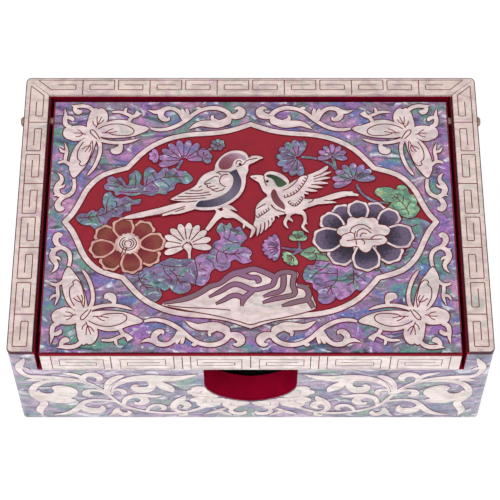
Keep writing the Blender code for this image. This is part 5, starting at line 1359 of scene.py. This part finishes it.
def notch_outline(grow):
    """The thumb notch in the front's drawing: a round bottom drawn down to a point."""
    half, bottom, point, round_part = 10.8 + grow, 9.0, 1.0, 8.6
    top, level = 30.0, bottom + point + round_part
    arch = [
        (x, y - point * (1 - abs(x) / half))
        for x, y in arc((0.0, level), half, -(round_part + grow), 0, 180, 24)
    ]
    return [(half, top)] + arch + [(-half, top)]


def fret(starts, pitch, foot, inner, span, mitred, last_run):
    """Lines of a rim fret as (along, share of the strip's width), two hooks to each unit.

    The last hook at each end named in mitred, 1 or -1, stops short of the mitre, where inner is
    the end of the inside and span the width of the next strip; last_run is its near and its tail.
    """
    lines = []
    for start in starts:
        lines.append([(start, foot), (start, FRET_TOP)])
        for way in (1, -1):
            near, tail = FRET_NEAR * pitch, FRET_TAIL * pitch
            far_top = far_low = start + FRET_FAR * pitch * way
            if way in mitred and start == starts[-1 if way > 0 else 0]:
                near, tail = last_run
                far_top = way * (inner + FRET_TOP * span - RIM_MITRE)
                far_low = way * (inner + FRET_LOW * span - RIM_MITRE)
            lines.append([
                (start, FRET_TOP), (far_top, FRET_TOP), (far_low, FRET_LOW),
                (start + way * near, FRET_LOW), (start + way * near, FRET_MIDDLE),
                (start + way * tail, FRET_MIDDLE),
            ])
    return lines


# ---- pieces


class CardBoxPiece:
    """What the operators have in common."""

    bl_options = {"REGISTER", "UNDO"}


class CARDBOX_OT_boards(CardBoxPiece, Operator):
    """Lacquer the boards and the picture's ground, and lay felt, flock and brass"""

    bl_idname = "cardbox.boards"
    bl_label = "Boards"

    def execute(self, context):
        dress("box_lacquer", "base_board", "back_wall", "lid_board", "lid_lip")
        # The side walls take the brighter red as painted light in the shaded gaps beside the lid
        dress("notch_lacquer", "front_wall", "left_wall", "right_wall")
        dress("black_felt", "base_felt")
        dress("black_flock", "floor_lining")
        dress("pin_brass", "hinge_pin_left", "hinge_pin_right")
        dress("picture_lacquer_ground", "picture_ground")
        return {"FINISHED"}


class CARDBOX_OT_sheets(CardBoxPiece, Operator):
    """Turn the lid's sheet to abalone and wrap sheets round the walls and their corners"""

    bl_idname = "cardbox.sheets"
    bl_label = "Abalone sheets"

    def execute(self, context):
        dress("lid_abalone", "lid_shell")
        top, low = (SHEETS_TOP - SHEETS_FOOT) / MM, (FRONT_TOP - SHEETS_FOOT) / MM
        opening = (LIP_HIGH.x + LID_ROOM) / MM
        way_in = [(-opening, low), (opening, low), (opening, top + 1), (-opening, top + 1)]
        pin_y = (PIN_LOW.y + PIN_HIGH.y) / 2 / MM
        pin_z = (PIN_LOW.z + PIN_HIGH.z) / 2 / MM - SHEETS_FOOT / MM
        right_hole, left_hole = (
            arc((way * pin_y, pin_z), PIN_HOLE, PIN_HOLE, 0, 360, 24)[:-1] for way in (1, -1)
        )
        for turn, (node, *cuts) in enumerate((
            ("shell_front", way_in, notch_outline(0.0)), ("shell_right", right_hole),
            ("shell_back",), ("shell_left", left_hole),
        )):
            along = ((BOX_X, BOX_Y)[turn % 2] - CORNER) / MM
            bend = CORNER / MM * (math.pi / 4 - SHEET_SEAM)
            steps = [-along - bend * (1 - i / BEND) for i in range(BEND + 1)]
            steps += [along + bend * i / BEND for i in range(BEND + 1)]
            panels = [[(a, 0.0), (b, 0.0), (b, top), (a, top)] for a, b in zip(steps, steps[1:])]
            piece = Inlay(on_wall(turn))
            piece.add(panels, -LACQUER_BEHIND, -LACQUER_UNDER, "notch_lacquer", cuts)
            piece.add(panels, -SHEET_THICK, 0.0, "wall_abalone", cuts)
            piece.done(node, "case", "sheet")
        return {"FINISHED"}


class CARDBOX_OT_rim(CardBoxPiece, Operator):
    """Lay pearl strips on the rim, with their fret lines"""

    bl_idname = "cardbox.rim"
    bl_label = "Rim fret"

    def execute(self, context):
        sizes = context.scene.card_box_sizes
        x, y = RIM_HIGH.x / MM, RIM_HIGH.y / MM
        inner_x, inner_y = RIM_LOW.x / MM, BACK_LOW.y / MM
        width, depth = x - inner_x, BACK_HIGH.y / MM - inner_y
        edge_x, radius = inner_x + RIM_FREE, CORNER / MM
        low, top = SHEETS_TOP + RIM_GAP - RIM_HIGH.z, -2 * sizes.step

        def on_rim(px, py, rise):
            return Vector((px * MM, py * MM, RIM_HIGH.z + rise))

        def on_back(along, across, rise):
            return on_rim(along, inner_y + across * depth / width, rise)

        def corner(px, py, start, end, inset):
            return arc((px, py), radius - inset, radius - inset, start, end, 8)

        def side_outline(inset, core, flip):
            outline = [(edge_x + core, -y + inset)]
            outline += corner(x - radius, -y + radius, 270, 360, inset)
            outline += corner(x - radius, y - radius, 0, 45, inset)
            outline.append((edge_x + core, inner_y + core))
            return [(px * flip, py - RIM_SEAM * 0.5) for px, py in outline]

        def back_outline(inset, core, _):
            end, front = edge_x - RIM_SEAM, inner_y + max(core, RIM_INSET)
            outline = [(end, front)] + corner(x - radius, y - radius, 45, 90, inset)
            return outline + corner(-x + radius, y - radius, 90, 135, inset) + [(-end, front)]

        def strip(outline, flip):
            piece = Inlay(on_rim)
            for inset, core, height, paint in (
                (0.0, RIM_EDGE_IN, top - RIM_EDGE_UNDER, "rim_edge"),
                (RIM_BEVEL, 0.0, top, "rim_pearl"),
                # The walls' tops get the darker lacquer as painted shade of the gap beside the lid
                (RIM_UNDER, RIM_INSET - RIM_FREE, low + RIM_LACQUER, "shade_lacquer"),
            ):
                piece.add([outline(inset, core, flip)], low, height, paint)
            return piece

        def engrave(piece, lines):
            half, span = sizes.fret_line / MM / 2, (-3 * sizes.step, -sizes.step)
            piece.lines(lines, "fret_line", half, span=span, steps=1)

        def in_strip(lines):
            return [eased([(along, share * width) for along, share in line]) for line in lines]

        side = in_strip(fret(
            starts=(-28.0, -10.5, 7.0, 24.5), pitch=17.5, foot=RIM_FREE / width, inner=inner_y,
            span=depth, mitred=(1,), last_run=(1.8, 6.0),
        ))
        for node, flip in (("rim_strip_right", 1), ("rim_strip_left", -1)):
            piece = strip(side_outline, flip)
            engrave(piece, [[(flip * (inner_x + b), a) for a, b in line] for line in side])
            piece.done(node, "case", "fretted")

        pitch = 16.45
        piece = strip(back_outline, 1)
        piece.place = on_back
        engrave(piece, in_strip(fret(
            starts=[-8.2 + i * pitch for i in range(-2, 4)], pitch=pitch, foot=0.0, inner=inner_x,
            span=width, mitred=(1, -1), last_run=(1.7, 6.0),
        )))
        piece.done("rim_strip_back", "case", "fretted")
        return {"FINISHED"}


class CARDBOX_OT_lip(CardBoxPiece, Operator):
    """Lay pearl on the lid's front rail, with its fret and a line of red lacquer above"""

    bl_idname = "cardbox.lip"
    bl_label = "Lip fret"

    def execute(self, context):
        sizes = context.scene.card_box_sizes
        half_width, low, high = LIP_HIGH.x / MM, LIP_LOW.z / MM, LIP_HIGH.z / MM
        edge = high - LIP_RED
        behind = LIP_LOW.y - LIP_HIGH.y + 2 * sizes.step

        def on_lip(x, z, rise):
            return Vector((x * MM, LIP_LOW.y + sizes.step * 2 - rise, z * MM))

        piece = Inlay(on_lip)
        for bottom, top, paint in ((low, edge, "white_pearl"), (edge, high, "red_line")):
            corners = ((-1, bottom), (1, bottom), (1, top), (-1, top))
            piece.add([[(way * half_width, z) for way, z in corners]], behind, 0.0, paint)
        lines = [[(0.0, edge - LIP_MARGIN), (0.0, low + LIP_FOOT)]]
        for flip in (1, -1):
            lines += [[(x * flip, z - LIP_MARGIN) for x, z in line] for line in LIP_LINES]
        half, span = sizes.fret_line / MM / 2, (-sizes.step, sizes.step)
        piece.lines(lines, "fret_line", half, span=span, steps=1)
        piece.done("lip_strip", "lid", "fretted")
        return {"FINISHED"}


class CARDBOX_OT_border(CardBoxPiece, Operator):
    """Lay butterflies and scrolls in the four corners of the lid"""

    bl_idname = "cardbox.border"
    bl_label = "Lid border"

    def execute(self, context):
        drawn = {"butterfly": BUTTERFLY, "edge_scroll": EDGE_SCROLL, "end_scroll": END_SCROLL}
        for end, flip_y in (("back", False), ("front", True)):
            for hand, flip_x in (("right", 1), ("left", -1)):
                for node, shapes in drawn.items():
                    shapes = mirrored(shapes, flip_x, flip_y)
                    piece = Inlay(on_lid)
                    piece.shapes(shapes, "lid_pearl")
                    if node == "butterfly":
                        piece.lines(shapes["lines"])
                        piece.lines(shapes["veins"], "vein_lacquer", VEIN_LINE, above=0.2)
                    piece.done(f"{node}_{end}_{hand}", "lid")
        return {"FINISHED"}


class CARDBOX_OT_cartouche(CardBoxPiece, Operator):
    """Lay the pearl band round the picture"""

    bl_idname = "cardbox.cartouche"
    bl_label = "Picture band"

    def execute(self, context):
        sizes = context.scene.card_box_sizes
        piece = Inlay(on_lid)
        for half, paint, above in (
            (BAND_HALF + sizes.outline / MM, "outline_lacquer", EDGE), (BAND_HALF, "lid_pearl", 0.0),
        ):
            top = rise_of("border", above)
            piece.add([cartouche(half)], -sizes.sink, top, paint, [cartouche(-half)])
        piece.done("cartouche_band", "lid")
        return {"FINISHED"}


class CARDBOX_OT_birds(CardBoxPiece, Operator):
    """Lay the two birds"""

    bl_idname = "cardbox.birds"
    bl_label = "Birds"

    def execute(self, context):
        for node, bird, eye, barbs, stained in (
            ("bird_left", LEFT_BIRD, LEFT_EYE, (),
             ((LEFT_CAP, "cap_mauve"), (LEFT_BREAST, "breast_violet"))),
            ("bird_right", RIGHT_BIRD, RIGHT_EYE, WING_BARBS,
             ((RIGHT_CAP, "cap_green"), (RIGHT_BREAST, "breast_red"))),
        ):
            stain = node + "_stain"
            piece = Inlay(on_lid)
            piece.shapes(bird, "lid_pearl", node)
            for shapes, paint in stained:
                piece.shapes(shapes, paint, stain, edge=None)
            piece.lines(bird["lines"], layer=stain)
            for count, path in barbs:
                piece.barbs(path, stain, count)
            piece.shapes(eye, "black_flock", node + "_eye", edge=None)
            piece.done(node, "lid")
        return {"FINISHED"}


class CARDBOX_OT_flowers(CardBoxPiece, Operator):
    """Lay the rose-brown flower, the violet flower and the white daisy"""

    bl_idname = "cardbox.flowers"
    bl_label = "Flowers"

    def execute(self, context):
        self.rose()
        self.violet()
        self.daisy()
        return {"FINISHED"}

    def rose(self):
        """Two rings of stained petals, a ruff and a curled heart."""
        piece = Inlay(on_lid)
        for layer, start in (("rose_low", 55.0), ("rose_high", 100.0)):
            petals = ((-28.75, 28.7), (5.75, 4.5), (3.1, 2.5), 4, start, 360.0)
            piece.bordered_petals("rose_border", "rose_petal", layer, 0.07, *petals)
        middle = (-28.6, 29.2)
        piece.petals("rose_border", "rose_ruff", middle, (2.55, 2.35), (0.55, 0.5), 15)
        piece.petals("lid_pearl", "rose_middle", middle, (0.0, 0.0), (2.6, 2.4), 1, taper=0.0)
        curls = ((1.95, -250, 60), (1.35, -240, 90), (0.8, -60, 230))
        lines = [arc(middle, r, 0.92 * r, first, last, 14) for r, first, last in curls]
        lines.append([(-29.6, 28.1), (-30.0, 26.7), (-30.2, 26.1)])
        lines.append([(-28.8, 28.2), (-29.2, 26.8), (-29.2, 26.0)])
        piece.lines(lines, layer="rose_middle")
        piece.done("rose_flower", "lid")

    def violet(self):
        """Four fans of stained petals, and their pearl heart as a piece of its own."""
        piece = Inlay(on_lid)
        for layer, *petals in VIOLET_PETALS:
            ring = ((26.25, 31.8), (8.0, 6.1), *petals)
            piece.bordered_petals("lid_pearl", "violet_petal", layer, 0.05, *ring)
        piece.done("violet_flower", "lid")
        piece = Inlay(on_lid)
        piece.shapes(HEART, "lid_pearl", "violet_heart")
        piece.lines(HEART["lines"], layer="violet_heart")
        piece.done("violet_flower_heart", "lid")

    def daisy(self):
        """A fan of white petals on a stem; nine lines part ten petals."""
        piece = Inlay(on_lid)
        middle, start, sweep, gaps = (-14.8, 28.9), 204.0, -212.0, 9
        piece.petals(
            "lid_pearl", "daisy", middle, (3.1, 3.4), (2.6, 0.86), gaps + 1, start=start,
            sweep=sweep * (gaps + 1) / gaps, taper=0.22, edge="outline_lacquer",
        )
        stem = drawing(strokes=((-15.2, 29.2, 0.9, -14.6, 28.2, 0.9, -14.3, 26.8, 0.35,
                                 -14.2, 25.2, 0.3),))
        piece.shapes(stem, "lid_pearl", "daisy_stem")
        lines = [
            [around(middle, r, 1.08 * r, start + sweep * (i + 0.5) / gaps) for r in (1.4, 2.8, 4.2)]
            for i in range(gaps)
        ]
        lines.append([(-15.9, 28.0), (-15.6, 28.9), (-14.8, 29.4), (-14.0, 28.9), (-13.5, 28.3)])
        piece.lines(lines, layer="daisy_stem")
        piece.done("daisy", "lid")


class CARDBOX_OT_leaves(CardBoxPiece, Operator):
    """Lay leaves, stems, fan flowers and buds"""

    bl_idname = "cardbox.leaves"
    bl_label = "Leaves"

    def execute(self, context):
        for node, (paint, shapes) in LEAVES.items():
            piece = Inlay(on_lid)
            piece.shapes(shapes, paint, node)
            piece.lines(shapes["lines"], half=LEAF_LINE, layer=node)
            piece.done(node, "lid")
        piece = Inlay(on_lid)
        piece.shapes(STEMS, "sea_abalone", "stems")
        piece.done("stems", "lid")
        for node, paint, middle, ring, petal, count, start, sweep in FANS:
            gaps = count if abs(sweep) == 360 else count - 1
            piece = Inlay(on_lid)
            piece.petals(
                paint, node, middle, ring, petal, count, start=start, sweep=sweep * count / gaps,
                taper=0.3, edge="outline_lacquer",
            )
            reach = [axis + 0.2 * petal[0] for axis in ring]
            piece.lines([
                [around(middle, share * reach[0], share * reach[1], start + sweep * (i + 0.5) / gaps)
                 for share in (0.25, 0.65, 1.05)]
                for i in range(gaps)
            ], half=LEAF_LINE, layer=node)
            piece.done(node, "lid")
        return {"FINISHED"}


class CARDBOX_OT_rock(CardBoxPiece, Operator):
    """Lay the rock in the picture's foreground"""

    bl_idname = "cardbox.rock"
    bl_label = "Rock"

    def execute(self, context):
        piece = Inlay(on_lid)
        piece.shapes(ROCK, "lid_pearl", "rock")
        piece.shapes(ROCK_BANDS, "rock_mauve", "rock_bands")
        piece.lines(ROCK_BANDS["lines"], layer="rock_bands")
        piece.done("rock", "lid")
        return {"FINISHED"}


class CARDBOX_OT_front(CardBoxPiece, Operator):
    """Lay the scrolls on the front"""

    bl_idname = "cardbox.front"
    bl_label = "Front scrolls"

    def execute(self, context):
        for node, flip in (("front_scroll_left", -1), ("front_scroll_right", 1)):
            shapes = mirrored(FRONT_SCROLL, flip)
            piece = Inlay(on_wall(0))
            piece.shapes(
                shapes, "white_pearl", edge="front_outline", margin=FRONT_EDGE,
                cuts=[notch_outline(0.1)],
            )
            piece.lines(shapes["lines"], "front_outline", FRONT_LINE)
            piece.done(node, "case")
        return {"FINISHED"}


class CARDBOX_OT_walls(CardBoxPiece, Operator):
    """Lay the vines on the other three walls"""

    bl_idname = "cardbox.walls"
    bl_label = "Wall vines"

    def execute(self, context):
        for node, turn, waves in (
            ("right_scroll", 1, 2), ("back_scroll", 2, 3), ("left_scroll", 3, 2),
        ):
            span = 2 * ((BOX_X, BOX_Y)[turn % 2] - CORNER) / MM
            pitch = (span - VINE_FREE) / waves
            shift = -span / 2 + VINE_START
            vine = {"strokes": [
                [(x + shift, y + VINE_FOOT, half) for x, y, half in stroke]
                for stroke in wave(pitch, VINE_HEIGHT)
            ]}
            piece = Inlay(on_wall(turn))
            piece.shapes(
                vine, "white_pearl", edge="front_outline", margin=FRONT_EDGE, Copies=waves,
                Pitch=(pitch, 0.0, 0.0),
            )
            piece.done(node, "case")
        return {"FINISHED"}


class CARDBOX_OT_stage(CardBoxPiece, Operator):
    """Set up the floor, white surroundings, lamps and camera"""

    bl_idname = "cardbox.stage"
    bl_label = "Stage"

    def execute(self, context):
        scene = context.scene
        settings = scene.card_box_stage
        scene.view_settings.view_transform = "Standard"
        half = 3.0
        mesh = bpy.data.meshes.new("floor")
        corners = ((-half, -half, 0.0), (half, -half, 0.0), (half, half, 0.0), (-half, half, 0.0))
        mesh.from_pydata(corners, [], [(0, 1, 2, 3)])
        mesh.materials.append(finish("floor_white"))
        floor = bpy.data.objects.new("floor", mesh)
        scene.collection.objects.link(floor)

        world = bpy.data.worlds.new("white_room")
        world.use_nodes = True
        tree = world.node_tree
        strength = calc(tree, "MULTIPLY_ADD", seen_white(tree), 1.0 - settings.sky, settings.sky)
        wire(tree, tree.nodes["Background"], Color=WHITE, Strength=strength)
        scene.world = world

        for name, place, size, power in (
            ("key_lamp", (-0.35, -0.45, 0.75), 0.5, settings.key),
            ("fill_lamp", (0.25, -0.75, 0.30), 0.6, settings.fill),
        ):
            data = bpy.data.lights.new(name, "AREA")
            data.size = size
            data.energy = power
            lamp = bpy.data.objects.new(name, data)
            lamp.location = place
            lamp.rotation_euler = (-Vector(place)).to_track_quat("-Z", "Y").to_euler()
            scene.collection.objects.link(lamp)

        data = bpy.data.cameras.new("camera")
        data.lens = settings.lens
        data.sensor_width = 36.0
        data.shift_x = -0.0013
        camera = bpy.data.objects.new("camera", data)
        camera.location = (0.0, -settings.camera_back, settings.camera_up)
        camera.rotation_euler = (math.pi / 2 - settings.elevation, 0.0, 0.0)
        scene.collection.objects.link(camera)
        scene.camera = camera
        return {"FINISHED"}


OPERATORS = (
    CARDBOX_OT_boards, CARDBOX_OT_sheets, CARDBOX_OT_rim, CARDBOX_OT_lip, CARDBOX_OT_border,
    CARDBOX_OT_cartouche, CARDBOX_OT_birds, CARDBOX_OT_flowers, CARDBOX_OT_leaves,
    CARDBOX_OT_rock, CARDBOX_OT_front, CARDBOX_OT_walls, CARDBOX_OT_stage,
)


class CARDBOX_PT_sidebar(Panel):
    """Pieces of the card box."""

    bl_idname = "CARDBOX_PT_sidebar"
    bl_label = "Card Box"
    bl_space_type = "VIEW_3D"
    bl_region_type = "UI"
    bl_category = "Card Box"

    def draw(self, context):
        layout = self.layout
        for group in ("card_box_sizes", "card_box_colours", "card_box_stage"):
            settings = getattr(context.scene, group)
            box = layout.box()
            for key in settings.__annotations__:
                box.prop(settings, key)
        for operator in OPERATORS:
            layout.operator(operator.bl_idname)


CLASSES = (InlaySizes, BoxColours, StageSettings) + OPERATORS + (CARDBOX_PT_sidebar,)


def register():
    """Register the classes and their settings."""
    for item in CLASSES:
        bpy.utils.register_class(item)
    bpy.types.Scene.card_box_sizes = PointerProperty(type=InlaySizes)
    bpy.types.Scene.card_box_colours = PointerProperty(type=BoxColours)
    bpy.types.Scene.card_box_stage = PointerProperty(type=StageSettings)


def unregister():
    """Remove what register added."""
    del bpy.types.Scene.card_box_stage
    del bpy.types.Scene.card_box_colours
    del bpy.types.Scene.card_box_sizes
    for item in reversed(CLASSES):
        bpy.utils.unregister_class(item)


def main():
    """Make every piece."""
    register()
    for operator in OPERATORS:
        getattr(bpy.ops.cardbox, operator.bl_idname.split(".")[1])()


if __name__ == "__main__":
    main()
